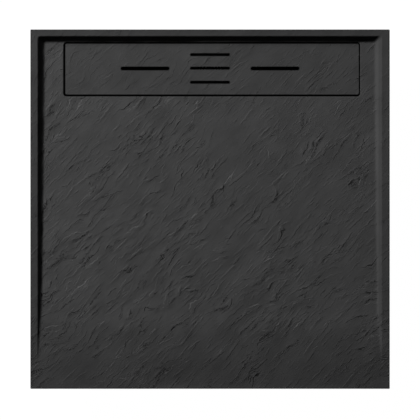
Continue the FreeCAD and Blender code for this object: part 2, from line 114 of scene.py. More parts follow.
def layered_noise(draw, layers):
    """The sum of layers of bell noise, each with its strength, length along the grain and width."""
    return sum(strength * bell_noise(draw, along, across, grain) for strength, along, across in layers)


def raster_place(place):
    """Where a place in millimetres falls along a side of the raster, counted in its cells."""
    return (place + raster_side / 2) / raster_step


def riven_slate(seed):
    """Heights of riven slate on a raster: low swells, and flakes that broke off along the grain.

    A flake is a step up across a jagged line that eases back to nothing over its run and fades towards
    both ends of the line. The lines are made jagged by bending the whole raster with noise. Flakes crowd
    together in patches, most of all towards the front left. Besides the heights it returns, near each
    lip, the distance across it and how high it steps there, both negative where the lip faces back.
    """
    draw = np.random.default_rng(seed)
    ticks = (np.arange(raster_count) + 0.5) * raster_step - raster_side / 2
    height = layered_noise(draw, swells)
    bend = [layered_noise(draw, bends) for _ in range(2)]
    crowding = bell_noise(draw, 110, 60, grain) - (ticks[None] + 0.6 * ticks[:, None]) / 700
    drift = np.clip(bell_noise(draw, 160, 160, 0.0), -1.5, 1.5)
    lip_place = np.full((raster_count, raster_count), lip_reach)
    lip_rise = np.zeros((raster_count, raster_count))
    made = 0
    while made < flake_count:
        x, y = draw.uniform(-raster_side / 2, raster_side / 2, 2)
        column, row = int(raster_place(x)), int(raster_place(y))
        if draw.uniform() * (1 + math.exp(-1.6 * crowding[row, column])) > 1:
            continue
        made += 1
        turn = grain + math.radians(8 * drift[row, column] + 7 * draw.standard_normal() - x / 60 + y / 80)
        length = 10 + 17 * draw.gamma(1.6)
        run = 4 + 20 * draw.uniform() ** 1.5
        rise = (0.12 + 0.30 * draw.gamma(1.3)) * min(max(length / 32, 0.5), 1.3)
        rise = min(rise, highest_flake)
        bow = 0.12 * draw.standard_normal()
        facing = 1
        if draw.uniform() < back_facing:
            turn += math.pi
            rise *= 0.9
            facing = -1
        reach = length / 2 + run + 12
        left, right = np.searchsorted(ticks, (x - reach, x + reach))
        low, high = np.searchsorted(ticks, (y - reach, y + reach))
        window = (slice(low, high), slice(left, right))
        east = ticks[None, left:right] + bend[0][window] - x
        north = ticks[low:high, None] + bend[1][window] - y
        along = east * math.cos(turn) + north * math.sin(turn)
        across = north * math.cos(turn) - east * math.sin(turn) - bow * along**2 / length
        fade = np.clip(1 - (2 * along / length) ** 2, 0, 1)
        lip = np.clip(across / lip_width + 0.5, 0, 1)
        ease = np.where(across > 0, np.clip(1 - across / run, 0, 1) ** 1.5, 1.0)
        height[window] += rise * fade * lip * lip * (3 - 2 * lip) * ease
        nearest = (fade > 0) & (np.abs(across) < np.abs(lip_place[window]))
        lip_place[window] = np.where(nearest, facing * across, lip_place[window])
        lip_rise[window] = np.where(nearest, facing * rise * fade, lip_rise[window])
    lip_rise *= np.clip((lip_reach - np.abs(lip_place)) / 2, 0, 1)
    return height - height.mean(), lip_place, lip_rise


def on_raster(raster, x, y):
    """Raster heights at any points, weighted between the four nearest raster points."""
    column, row = (np.clip(raster_place(place) - 0.5, 0, raster_count - 1.001) for place in (x, y))
    left, low = column.astype(int), row.astype(int)
    east, north = column - left, row - low
    lower = raster[low, left] * (1 - east) + raster[low, left + 1] * east
    upper = raster[low + 1, left] * (1 - east) + raster[low + 1, left + 1] * east
    return lower * (1 - north) + upper * north


def soft_max(a, b, reach):
    """The larger of two heights, with a parabola of the given reach where they are nearly equal."""
    return np.maximum(a, b) + np.maximum(reach - np.abs(a - b), 0) ** 2 / (4 * reach)


def floor_rise(y):
    """Height of the basin floor over its length, below the rim: level, gentle slope, then entry ramp."""
    slope = -deepest + (level_front - y) * (deepest - slope_depth) / (level_front - slope_front)
    entry = -slope_depth * (y - entry_front) / (slope_front - entry_front)
    return soft_max(soft_max(-deepest, slope, 0.3), entry, 0.8)


def up_wall(y, z):
    """How clearly a point of the basin is on a wall: nothing at the floor or the rim, one between them."""
    return np.clip(np.minimum(rim_z - 1.0 - z, z - rim_z - floor_rise(y) - 1.0) / 1.5, 0, 1)


def below_rim(z):
    """How far down in the basin a height is: nothing just under the rim, one from five millimetres down."""
    return np.clip((rim_z - 1.0 - z) / 4, 0, 1)


def patchiness(x, y):
    """How deep the slate's relief is over the tray: deepest at the back left, least at the back right."""
    return 0.93 - 0.08 * x / half - 0.06 * x * y / half**2


def basin(x, y, inset):
    """Height of the tray's top below its rim: the floor and three walls, rounded where they meet.

    inset sinks the whole surface into the tray, square to itself.
    """
    shift = inset * math.sqrt(2)
    left = wall_left - shift - x
    right = x - wall_right - shift
    back = (y - wall_back - shift) / back_run
    walls = soft_max(soft_max(left, right, 9.0), back, 9.0)
    return -soft_max(inset, -soft_max(floor_rise(y) - inset, walls, 3.0), 1.5)


def round_corner(x, y, centre, toward, ring, fade):
    """Square rings round a corner's centre pulled into round ones, easing back to square over fade."""
    east, north = x - centre[0], y - centre[1]
    inside = (east * toward[0] > 0) & ((north * toward[1] > 0) | (toward[1] == 0))
    square = np.maximum(np.abs(east), np.abs(north))
    round_ = np.maximum(np.hypot(east, north), 1e-9)
    pull = 1 + (square / round_ - 1) * np.clip((ring + fade - square) / fade, 0, 1)
    pull = np.where(inside, pull, 1.0)
    return centre[0] + east * pull, centre[1] + north * pull


def round_corners(x, y, block, corner, ring, fade):
    """Such rings made round at all four corners of a block (left, right, front, back)."""
    for east, arc_x in ((-1, block[0] + corner), (1, block[1] - corner)):
        for north, arc_y in ((-1, block[2] + corner), (1, block[3] - corner)):
            x, y = round_corner(x, y, (arc_x, arc_y), (east, north), ring, fade)
    return x, y


def outside_block(x, y, block, corner):
    """Distance of points outside a rounded rectangle (left, right, front, back)."""
    east = np.abs(x - (block[0] + block[1]) / 2) - (block[1] - block[0]) / 2 + corner
    north = np.abs(y - (block[2] + block[3]) / 2) - (block[3] - block[2]) / 2 + corner
    outer = np.hypot(np.maximum(east, 0), np.maximum(north, 0))
    return outer + np.minimum(np.maximum(east, north), 0) - corner


def edge_drop(inside, radius):
    """How far a rounded edge lies below its face, at each distance inside the edge."""
    inside = np.clip(inside, 0, radius)
    return radius - np.sqrt(np.maximum(radius**2 - (radius - inside) ** 2, 0))


def polar(radius, turn, z):
    """Points at a distance from the upright axis, a turn round it and a height."""
    return np.stack(np.broadcast_arrays(radius * np.cos(turn), radius * np.sin(turn), z), axis=-1)


def lines(marks, step):
    """Grid lines through every mark, with the stretches between marks cut into even steps."""
    pieces = []
    for low, high in zip(marks, marks[1:]):
        count = max(math.ceil((high - low) / step), 1)
        pieces.append(np.linspace(low, high, count, endpoint=False))
    return np.concatenate(pieces + [marks[-1:]])


def with_skirts(marks, step, drops, inset):
    """Grid lines over the top, and down the skirt at both ends: (place, drop below the rim)."""
    side = half - inset
    top = lines([-side] + list(marks) + [side], step)
    place = np.concatenate([np.full(len(drops), -side), top, np.full(len(drops), side)])
    drop = np.concatenate([drops[::-1], np.full(len(top), inset), drops])
    return place, drop


def grid_quads(number, keep):
    """Quads between neighbouring points of a grid of point numbers, for the cells that are kept."""
    quads = np.stack([number[:-1, :-1], number[:-1, 1:], number[1:, 1:], number[1:, :-1]], axis=-1)
    return quads[keep]


def ring_of(number, low, high, left, right):
    """The points of a grid along a rectangle, once round from its front left corner."""
    front, back = number[low, left:right], number[high, right:left:-1]
    return np.concatenate([front, number[low:high, right], back, number[high:low:-1, left]])


hair = 0.01  # less than any step between grid lines


def cut_out(keep, number, columns, rows, block):
    """Leave the cells inside a block out of a grid, and give the ring of points round them."""
    left, right = np.searchsorted(columns, np.array(block[:2]) - hair)
    low, high = np.searchsorted(rows, np.array(block[2:]) - hair)
    keep[low:high, left:right] = False
    return ring_of(number, low, high, left, right)


wall_grid_reach, wall_grid_spread = 48.0, 1.25
corner_ring, corner_fade = 1.6, 12.0
lowest_relief, highest_relief = -1.9, 1.2
middle_sink = 0.35  # how far the middle of the relief lies under the plain surface
smooth_edge = 9.0  # the relief dies away over this distance from the outer edge


def tray_sheet(columns, rows, inset, block, corner, relief):
    """The tray's top and skirts as one grid over the unfolded tray, with the recess left open.

    Returns its points, its quads, and the two rings of points round the skirt's foot and the recess.
    """
    (place_x, drop_x), (place_y, drop_y) = columns, rows
    x, y = np.meshgrid(place_x, place_y)
    drop = np.maximum(*np.meshgrid(drop_x, drop_y))
    squeeze = wall_grid_spread * (deepest - np.maximum(-floor_rise(y), 5.0))
    foot_place = wall_grid_spread * deepest
    for wall, inward in ((wall_left, 1), (wall_right, -1)):
        from_wall = (x - wall) * inward
        beyond = (wall_grid_reach - from_wall) / (wall_grid_reach - foot_place)
        x = x - inward * squeeze * np.clip(np.minimum(from_wall / foot_place, beyond), 0, 1)
    x, y = round_corners(x, y, block, corner, corner + corner_ring, corner_fade)
    flat = np.stack([x, y, rim_z - drop], axis=-1)
    side = half - inset - edge_radius
    heart = np.clip(flat, (-side, -side, -1e9), (side, side, rim_z - inset - edge_radius))
    away = flat - heart
    reach = np.linalg.norm(away, axis=-1, keepdims=True)
    away = away / np.maximum(reach, 1e-9)
    points = heart + away * edge_radius
    points[..., 2] += basin(x, y, inset) + inset
    if relief is not None:
        down = drop - inset
        along = [p + np.sign(p) * np.where(np.abs(p) >= half - hair, down, 0) for p in (x, y)]
        sunk = below_rim(points[..., 2])
        entry = np.clip((slope_front - y) / 60, 0, 1) * (1 - sunk)
        strength = (0.45 + 0.55 * sunk + 0.4 * entry) * (1 - wall_calm * up_wall(y, points[..., 2]))
        strength *= patchiness(x, y)
        depth = middle_sink + 0.45 * entry - on_raster(relief, *along) * strength
        depth = np.clip(depth, -highest_relief, -lowest_relief)
        depth = np.where((sunk > 0.99) & (down == 0), depth, np.maximum(depth, 0.02))
        depth *= np.clip((half - np.maximum(np.abs(x), np.abs(y))) / smooth_edge, 0.05, 1)
        points -= away * depth[..., None]
        points[..., 2] -= edge_drop(outside_block(x, y, block, corner), recess_edge)
    number = np.arange(x.size).reshape(x.shape)
    keep = np.ones((len(place_y) - 1, len(place_x) - 1), bool)
    opening = cut_out(keep, number, place_x, place_y, block)
    skirts = int((drop_x > inset).sum()) // 2
    ends = np.r_[0:skirts, -skirts:0]
    keep[np.ix_(ends, ends)] = False
    crosswise, lengthwise = number[:, skirts:-skirts], number[skirts:-skirts]
    foot = np.concatenate([crosswise[0], lengthwise[:, -1], crosswise[-1, ::-1], lengthwise[::-1, 0]])
    return points.reshape(-1, 3), grid_quads(number, keep), foot, opening


def block_ring(inset, corner):
    """A rounded rectangle inside the recess's edge, once round from its front left corner.

    Each straight side and each quarter arc has a fixed number of points, so all such rings match.
    """
    left, right = recess[0] + inset, recess[1] - inset
    front, back = recess[2] + inset, recess[3] - inset
    arcs = [((left + corner, front + corner), 225), ((right - corner, front + corner), 270)]
    arcs += [((right - corner, back - corner), 0), ((left + corner, back - corner), 90)]
    arcs += [((left + corner, front + corner), 180)]
    ring = []
    for step, (centre, start) in enumerate(arcs):
        sweep = 90 if 0 < step < 4 else 45
        turn = np.radians(np.linspace(start, start + sweep, 7 if sweep == 90 else 4))
        arc = polar(corner, turn, 0.0)[:, :2] + centre
        if ring:
            side_count = 48 if step % 2 else 12
            share = np.linspace(0, 1, side_count + 1)[1:-1, None]
            ring.append(ring[-1][-1] * (1 - share) + arc[0] * share)
        ring.append(arc)
    return np.concatenate(ring)[:-1]


waste_y = (recess[2] + recess[3]) / 2
ledge_inset, channel_corner = 10.5, 6.0
ledge_z, channel_end_z = floor_z - 10.0, floor_z - 16.0
channel_z, seat_z = floor_z - 17.5, floor_z - 20.5
seat_radius, hole_radius = 57.5, 45.0
level_half = 70.0  # level stretch of the channel on each side of the waste


def channel_floor(x):
    """Height of the channel floor: level beside the waste, rising to both ends."""
    left = (channel_end_z - channel_z) * (-level_half - x) / (-level_half - recess[0])
    right = (channel_end_z - channel_z) * (x - level_half) / (recess[1] - level_half)
    return channel_z + np.maximum(np.maximum(left, right), 0)


def channel_rings():
    """Matching rings from the recess's wall down to the waste hole, then back up the skin's underside."""

    def level(inset, corner, z):
        """A ring at one height."""
        ring = block_ring(inset, corner)
        return np.column_stack([ring, np.full(len(ring), z)])

    def circle(radius, z):
        """A ring drawn straight in to a circle round the waste."""
        east, north = block_ring(ledge_inset, channel_corner).T - np.array([[0.0], [waste_y]])
        reach = np.hypot(east, north)
        ring = [radius * east / reach, waste_y + radius * north / reach, np.full(len(reach), z)]
        return np.column_stack(ring)

    def on_floor(ring, lift):
        """A ring laid over the channel's floor."""
        ring[:, 2] = channel_floor(ring[:, 0]) + lift
        return ring

    def bed(share, sink):
        """A ring some share of the way from the channel's sides to the waste's seat."""
        side = level(ledge_inset + 0.8, channel_corner, 0.0)
        return on_floor(side * (1 - share) + circle(seat_radius + 0.5, 0.0) * share, -sink)

    return [
        level(0.0, recess_corner, floor_z - 2.0),
        level(0.0, recess_corner, ledge_z + 1.0),
        level(0.3, recess_corner, ledge_z + 0.3),
        level(1.0, recess_corner - 0.5, ledge_z),
        level(ledge_inset - 0.7, channel_corner, ledge_z),
        level(ledge_inset - 0.2, channel_corner, ledge_z - 0.2),
        level(ledge_inset, channel_corner, ledge_z - 0.7),
        on_floor(level(ledge_inset, channel_corner, 0.0), 0.8),
        *(bed(share, 0.0) for share in (0.0, 0.25, 0.5, 0.75, 1.0)),
        circle(seat_radius, channel_z - 0.4),
        circle(seat_radius, seat_z),
        circle(hole_radius + 0.5, seat_z),
        circle(hole_radius, seat_z - 0.5),
        circle(hole_radius, seat_z - skin),
        circle(seat_radius + skin, seat_z - skin),
        bed(0.9, skin),
        bed(0.0, skin),
        level(ledge_inset - skin, channel_corner + skin, ledge_z - skin),
        level(-skin, recess_corner + skin, ledge_z - skin),
        level(-skin, recess_corner + skin, floor_z - skin - 1.0),
    ]


def ring_quads(number):
    """Quads between matching rings, which are given as rows of point numbers."""
    onward = np.roll(number, -1, axis=1)
    return np.stack([number[:-1], onward[:-1], onward[1:], number[1:]], axis=-1).reshape(-1, 4)


def zip_rings(points, fine, coarse):
    """Triangles between two rings that start at the same corner and have different numbers of points.

    Each point has its share of the way round. Every fine edge goes to the coarse point nearest its
    middle, and every coarse edge to the fine point where that choice changes.
    """

    def share(ring):
        """How far round the ring each point is, from nothing to one."""
        ahead = points[np.roll(ring, -1)] - points[ring]
        travelled = np.cumsum(np.linalg.norm(ahead, axis=1))
        return np.concatenate([[0], travelled]) / travelled[-1]

    fine_share, coarse_share = share(fine), share(coarse)
    middles = (fine_share[1:] + fine_share[:-1]) / 2
    changes = (coarse_share[1:] + coarse_share[:-1]) / 2
    choice = np.searchsorted(changes, middles) % len(coarse)
    fans = np.stack([fine, np.roll(fine, -1), coarse[choice]], axis=-1)
    at = np.searchsorted(middles, changes) % len(fine)
    fill = np.stack([coarse, fine[at], np.roll(coarse, -1)], axis=-1)
    return np.concatenate([fans, fill])


def weld(points, quads, triangles):
    """Points at one place made one point.

    A quad that loses a corner becomes a triangle, and a face that loses more is left out.
    """
    _, first, new = np.unique(np.round(points, 3), axis=0, return_index=True, return_inverse=True)
    new = new.reshape(-1)
    quads, triangles = new[quads], new[triangles]
    doubled = quads == np.roll(quads, -1, axis=1)
    lost = doubled.sum(axis=1)
    corner = np.argmax(doubled[lost == 1], axis=1)
    others = (corner[:, None] + np.array([1, 2, 3])) % 4
    triangles = np.concatenate([triangles, np.take_along_axis(quads[lost == 1], others, axis=1)])
    whole = np.all(triangles != np.roll(triangles, -1, axis=1), axis=1)
    quads, triangles = quads[lost == 0], triangles[whole]
    used = np.unique(np.concatenate([quads.ravel(), triangles.ravel()]))
    return points[first][used], np.searchsorted(used, quads), np.searchsorted(used, triangles)


def make_piece(name, points, quads, triangles, sharp_angle):
    """A closed mesh object from points in millimetres, its faces turned outwards."""
    mesh = bpy.data.meshes.new(name)
    corners = np.concatenate([quads.ravel(), triangles.ravel()]).astype(np.int32)
    starts = np.concatenate([np.arange(len(quads)) * 4, len(quads) * 4 + np.arange(len(triangles)) * 3])
    mesh.vertices.add(len(points))
    mesh.vertices.foreach_set("co", (points * mm).astype(np.float32).ravel())
    mesh.loops.add(len(corners))
    mesh.loops.foreach_set("vertex_index", corners)
    mesh.polygons.add(len(starts))
    mesh.polygons.foreach_set("loop_start", starts.astype(np.int32))
    mesh.update(calc_edges=True)
    mesh.validate()
    work = bmesh.new()
    work.from_mesh(mesh)
    bmesh.ops.recalc_face_normals(work, faces=work.faces)
    if work.calc_volume(signed=True) < 0:
        bmesh.ops.reverse_faces(work, faces=work.faces)
    work.to_mesh(mesh)
    work.free()
    mesh.shade_smooth()
    mesh.set_sharp_from_angle(angle=math.radians(sharp_angle))
    piece = bpy.data.objects.new(name, mesh)
    bpy.context.scene.collection.objects.link(piece)
    return piece


def skin_strength(x, y, z):
    """How riven the tray is: fully in the basin and on the step-in edge, less on the rim and the walls."""
    level = np.where(y < slope_front, 1.0, 0.55 + 0.45 * below_rim(z))
    return level * (1 - wall_calm * up_wall(y, z)) * patchiness(x, y)


def skin_painted_shading(x, y, z):
    """Painted shading of the tray: painted shade along its outer edge, and a little painted light on the
    right-hand rim.
    """
    from_edge = half - np.maximum(np.abs(x), np.abs(y))
    edge = np.clip(0.45 + 0.2 * from_edge + np.maximum(rim_z - edge_radius - z, 0) / 8, 0.45, 1.0)
    return edge * (1 + 0.08 * np.clip((x - 425) / 5, 0, 1))


def mark_slate(piece, strength, tone_and_painted_shading):
    """Give each point of a slate piece its nearest lip, how riven the surface is there, and its tone and
    painted shading.
    """
    places = np.empty(len(piece.data.vertices) * 3)
    piece.data.vertices.foreach_get("co", places)
    x, y, z = places.reshape(-1, 3).T / mm
    column, row = (np.clip(raster_place(place).astype(int), 0, raster_count - 1) for place in (x, y))
    upper = z > floor_z - 2.2
    outside = np.maximum(np.abs(x), np.abs(y)) > half - edge_radius
    riven = np.where(outside, skirt_strength, np.where(upper, strength(x, y, z), 0.0))
    values = {
        "lip_place": lip_place[row, column],
        "lip_rise": np.where(upper & ~outside, lip_rise[row, column] * riven, 0.0),
        "riven": riven,
        "tone_and_painted_shading": tone_and_painted_shading(x, y, z),
    }
    for name, value in values.items():
        attribute = piece.data.attributes.new(name, "FLOAT", "POINT")
        attribute.data.foreach_set("value", value.astype(np.float32))


def across_recess(low, high):
    """Grid lines beside and inside both edges of the recess."""
    beyond = (0.0, recess_edge / 4, recess_edge)
    marks = [low - d for d in beyond[::-1]] + [low + 3.0, low + 8.0]
    return marks + [high - 8.0, high - 3.0] + [high + d for d in beyond]


relief, lip_place, lip_rise = riven_slate(7)
fine_step, coarse_step = 3.1, 60.0
edge_marks = (0.5, 1.2, 2.0)
wall_marks = (-2.0, -1.0, -0.2, 0.6, 1.5, 4.0, 7.0, 10.0, 13.0, 14.6, 16.0, 18.75)
fine_drops = np.array([*edge_marks, 6.0, 16.0, 28.0, skirt])
near_edge, far_edge = [d - half for d in edge_marks], [half - d for d in edge_marks[::-1]]
side_marks = near_edge + [wall_left + d for d in wall_marks] + across_recess(*recess[:2])
side_marks += [wall_right - d for d in wall_marks[::-1]] + far_edge
length_marks = near_edge + [entry_front, slope_front, level_front] + across_recess(*recess[2:])
length_marks += [wall_back - d for d in (12.2, 11.0, 9.0, 6.0, 3.0, 1.2, 0.4, -0.5, -1.5)] + far_edge
columns = with_skirts(side_marks, fine_step, fine_drops, 0.0)
rows = with_skirts(length_marks, fine_step, fine_drops, 0.0)
top, top_quads, top_foot, top_ring = tray_sheet(columns, rows, 0.0, recess, recess_corner, relief)

under = (recess[0] - skin, recess[1] + skin, recess[2] - skin, recess[3] + skin)
coarse_drops = np.array([skin + 3.0, skirt])
coarse_x = [wall_left + d for d in (-6.0, -3.5, 6.0, 12.0, 18.75)] + [under[0], under[0] + 9.0]
coarse_x += [under[1] - 9.0, under[1]] + [wall_right - d for d in (18.75, 12.0, 6.0, -3.5, -6.0)]
coarse_y = [entry_front, slope_front, level_front, under[2], under[2] + 9.0, under[3] - 9.0, under[3]]
coarse_y += [under[3] + 1.5, wall_back + 2.0, wall_back + 6.0]
coarse_columns = with_skirts(coarse_x, coarse_step, coarse_drops, skin)
coarse_rows = with_skirts(coarse_y, coarse_step, coarse_drops, skin)
inner_sheet = tray_sheet(coarse_columns, coarse_rows, skin, under, recess_corner + skin, None)
inner, inner_quads, inner_foot, inner_ring = inner_sheet

rings = channel_rings()
points = np.concatenate([top, inner] + rings)
ring_numbers = np.arange(len(top) + len(inner), len(points)).reshape(len(rings), -1)
ring_pairs = [(top_foot, len(top) + inner_foot), (top_ring, ring_numbers[0])]
ring_pairs += [(ring_numbers[-1], len(top) + inner_ring)]
triangles = np.concatenate([zip_rings(points, fine, coarse) for fine, coarse in ring_pairs])
quads = np.concatenate([top_quads, len(top) + inner_quads, ring_quads(ring_numbers)])
slate_skin = make_piece("slate_skin", *weld(points, quads, triangles), sharp_angle=40)
mark_slate(slate_skin, skin_strength, skin_painted_shading)
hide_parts("tray_skin")
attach(slate_skin, "tray")


def operator(operation, term=0):
    """An arithmetic operator as a Math node; term is the signal's own place among its two terms."""
    return lambda signal, other: signal.made("Math", {term: signal, 1 - term: other}, operation=operation)


class Signal:
    """An output in a shader tree, on which plain arithmetic makes Math nodes."""

    __add__ = __radd__ = operator("ADD")
    __sub__, __rsub__ = operator("SUBTRACT"), operator("SUBTRACT", 1)
    __mul__, __pow__ = operator("MULTIPLY"), operator("POWER")
    __truediv__, __rtruediv__ = operator("DIVIDE"), operator("DIVIDE", 1)

    def __init__(self, socket):
        self.socket, self.tree = socket, socket.id_data

    def made(self, kind, inputs, **settings):
        """The first output of a new node in the same tree."""
        return Signal(add_node(self.tree, kind, inputs, **settings).outputs[0])

    def math(self, operation, *others):
        """The result of a Math node that starts with the signal."""
        return self.made("Math", dict(enumerate((self, *others))), operation=operation)

    def vector(self, operation, *others):
        """The same for a Vector Math node."""
        return self.made("VectorMath", dict(enumerate((self, *others))), operation=operation)

    def tinting(self, colour):
        """A colour multiplied by the signal."""
        return self.made("VectorMath", {0: colour, 3: self}, operation="SCALE")

    def ramp(self, low, high, to_low=0.0, to_high=1.0):
        """The signal carried smoothly from one range to another and held at its ends."""
        inputs = {"Value": self, "From Min": low, "From Max": high, "To Min": to_low, "To Max": to_high}
        return self.made("MapRange", inputs, interpolation_type="SMOOTHSTEP")

    def feed(self, socket):
        """Link the signal to an input."""
        self.tree.links.new(self.socket, socket)


def add_node(tree, kind, inputs, **settings):
    """A shader node with its settings made, and each input set or, where a signal is given, linked."""
    made = tree.nodes.new("ShaderNode" + kind)
    for name, value in settings.items():
        setattr(made, name, value)
    for name, value in inputs.items():
        if isinstance(value, Signal):
            value.feed(made.inputs[name])
        else:
            made.inputs[name].default_value = value
    return made


def outputs(tree, kind, inputs, **settings):
    """All the outputs of a new node, by name."""
    return {socket.name: Signal(socket) for socket in add_node(tree, kind, inputs, **settings).outputs}


def noise(place, scale, detail, roughness=0.5):
    """Cloudy noise round a half, its largest clouds one over its scale wide."""
    inputs = {"Vector": place, "Scale": scale, "Detail": detail, "Roughness": roughness}
    return place.made("TexNoise", inputs)


def new_group(name, inputs, results):
    """An empty node group: its tree, its inputs as signals, and the sockets that take its outputs.

    An input has either its kind of socket or, where it is a plain number, its usual value.
    """
    group = bpy.data.node_groups.new(name, "ShaderNodeTree")
    for socket, value in inputs.items():
        kind = value if isinstance(value, str) else "Float"
        made = group.interface.new_socket(socket, in_out="INPUT", socket_type="NodeSocket" + kind)
        if kind == "Float":
            made.default_value = value
    for socket, kind in results.items():
        group.interface.new_socket(socket, in_out="OUTPUT", socket_type="NodeSocket" + kind)
    given = {socket.name: Signal(socket) for socket in group.nodes.new("NodeGroupInput").outputs}
    return group, given, group.nodes.new("NodeGroupOutput").inputs


def make_flake_steps():
    """Flakes broken off in crisp steps, one in each cell of a pattern that is stretched along the grain.

    A flake's lip runs through the middle of its cell, tilted by chance and facing either way. Across it
    the height jumps by a random rise, which eases back over the run and fades towards both ends.
    """
    inputs = {"Vector": "Vector", "Along": 0.05, "Across": 0.02, "Lip": 0.0005}
    inputs.update({"Bareness": 0.42, "Shift": 0.0})
    group, given, result = new_group("flake_steps", inputs, {"Height": "Float", "Edge": "Float"})
    size = given["Along"].made("CombineXYZ", {0: given["Along"], 1: given["Across"], 2: 1.0})
    place = given["Vector"].vector("DIVIDE", size).vector("ADD", given["Shift"])
    cell = outputs(group, "TexVoronoi", {"Vector": place, "Scale": 1.0}, voronoi_dimensions="2D")
    offset = outputs(group, "SeparateXYZ", {0: place.vector("SUBTRACT", cell["Position"])})
    chance = outputs(group, "SeparateColor", {0: cell["Color"]})
    facing = (chance["Blue"] - back_facing).math("SIGN")
    across = (offset["Y"] + (chance["Green"] - 0.5) * offset["X"]) * facing
    reach = chance["Red"].ramp(0.0, 1.0, 0.25, 0.70)
    fade = (1.0 - (offset["X"] / reach) ** 2.0).math("MAXIMUM", 0.0)
    edge = given["Lip"] / given["Across"]
    step = across.ramp(edge * -1.0, edge) * across.ramp(0.45, 0.0) ** 1.3
    rise = fade * (chance["Green"] * 7.0).math("FRACT")
    far = given["Vector"].vector("MULTIPLY", (9.0, 18.0, 9.0)).vector("ADD", given["Shift"])
    shown = noise(far, 1.0, 4.0, 0.65).ramp(given["Bareness"], given["Bareness"] + 0.12)
    (step * rise * shown).feed(result["Height"])
    # The Edge output marks the foot of each lip, signed by the way the lip faces, for the slate's painted
    # shade and painted highlight.
    foot = across.ramp(edge * -2.6, edge * -0.6) * across.ramp(edge, edge * -0.6)
    (foot * (rise * facing) * shown).feed(result["Edge"])
    return group


def new_material(name, specular, metallic=0.0):
    """A material, and the inputs of its shader."""
    material = bpy.data.materials.new(name)
    material.use_nodes = True
    shader = material.node_tree.nodes["Principled BSDF"].inputs
    shader["Specular IOR Level"].default_value = specular
    shader["Metallic"].default_value = metallic
    return material, shader


flake_steps = make_flake_steps()
slate_colour = (0.0445, 0.0445, 0.0448)
mesh_blur = 2.6  # how far the mesh spreads a lip to each side, which the fine relief takes back
lip_depth, streak_depth, pore_depth, scratch_depth = 2.2, 0.25, 0.34, 0.12
# Painted shade and painted highlight: the foot of a lip that faces away from the lamp is painted darker, and
# that of one facing the lamp lighter.
lip_painted_shade, lip_painted_highlight = -0.70, 0.55  # how much darker a lip's foot is, and how much lighter its edge
flake_layers = (
    # length and width of the cells, half the lip's width, bareness, rise, shift
    (0.064, 0.022, 0.0005, 0.43, 0.95, 0.0),
    (0.031, 0.011, 0.0004, 0.40, 0.70, 31.0),
    (0.015, 0.005, 0.0004, 0.37, 0.32, 57.0),
)
slate, shader = new_material("slate_gel_coat", specular=0.006)
tree = slate.node_tree
place = outputs(tree, "TexCoord", {})["Object"]
attributes = ("riven", "lip_place", "lip_rise", "tone_and_painted_shading")
riven, lip, lip_rise_here, tone_and_painted_shading = (
    outputs(tree, "Attribute", {}, attribute_name=name)["Fac"] for name in attributes
)
jag = outputs(tree, "TexNoise", {"Vector": place, "Scale": 140.0, "Detail": 2.5, "Roughness": 0.6})
bent = jag["Color"].vector("SUBTRACT", (0.5, 0.5, 0.5)).vector("MULTIPLY", (0.009, 0.007, 0.0))
on_grain = place.made("Mapping", {"Vector": place, "Rotation": (0, 0, -grain)}, vector_type="POINT")
on_grain = on_grain.vector("ADD", bent)
height, edges = 0.0, 0.0
for along, across, lip_half, bareness, rise, shift in flake_layers:
    inputs = {"Vector": on_grain, "Along": along, "Across": across, "Lip": lip_half}
    inputs.update({"Bareness": bareness, "Shift": shift})
    layer = outputs(tree, "Group", inputs, node_tree=flake_steps)
    height = height + layer["Height"] * rise
    edges = edges + layer["Edge"] * rise
lip = lip + (jag["Fac"] - 0.5) * 4.0
crisp = (lip.ramp(-0.4, 0.4) - lip.ramp(-mesh_blur, mesh_blur)) * lip_rise_here
streaks = noise(on_grain.vector("DIVIDE", (0.012, 0.003, 0.01)), 1.0, 5.0, 0.65)
scratches = noise(on_grain.vector("DIVIDE", (0.007, 0.0022, 0.01)), 1.0, 3.0, 0.6)
pores = noise(place, 400.0, 3.0, 0.6)
height = height * riven + crisp * lip_depth
height = height + streaks * streak_depth + pores * pore_depth + scratches * scratch_depth
height.made("Bump", {"Height": height, "Distance": mm}).feed(shader["Normal"])
# Painted shade and painted highlight along the lips, from the mesh's lips and from the fine flakes.
foot = lip.ramp(-1.2, -0.4) * lip.ramp(0.6, -0.2)
sides = lip_rise_here.ramp(0.05, 0.55) - lip_rise_here.ramp(-0.05, -0.55)
edges = foot * sides + edges * riven
painted_lip_shading = 1.0 + (edges.ramp(0.0, 1.0) * lip_painted_shade + edges.ramp(0.0, -1.0) * lip_painted_highlight)
mottle = noise(place, 14.0, 5.0, 0.6).ramp(0.3, 0.7, 0.92, 1.08)
level = outputs(tree, "SeparateXYZ", {0: place})["Z"]
# Painted shade: surfaces at the rim's height, the rim and the step-in edge, are painted darker than the basin
# floor below them.
rim_painted_shade = level.ramp((rim_z - 10.5) * mm, (rim_z - 4.5) * mm, 1.0, 0.79)
# The colour is multiplied by the points' tone and painted shading, the lips' painted shade and highlight and
# the rim's painted shade.
(mottle * rim_painted_shade * (painted_lip_shading * tone_and_painted_shading)).tinting(slate_colour).feed(shader["Base Color"])
streaks.ramp(0.3, 0.7, 0.56, 0.68).feed(shader["Roughness"])
slate_skin.data.materials.append(slate)

# ------------------------------ cast core
# Stone dust bound with polyester resin, cast into the skin and screeded level where the skin ends. Grains
# of filler and a few burst air bubbles show on its underside; the feet and the trap hold on to it there.


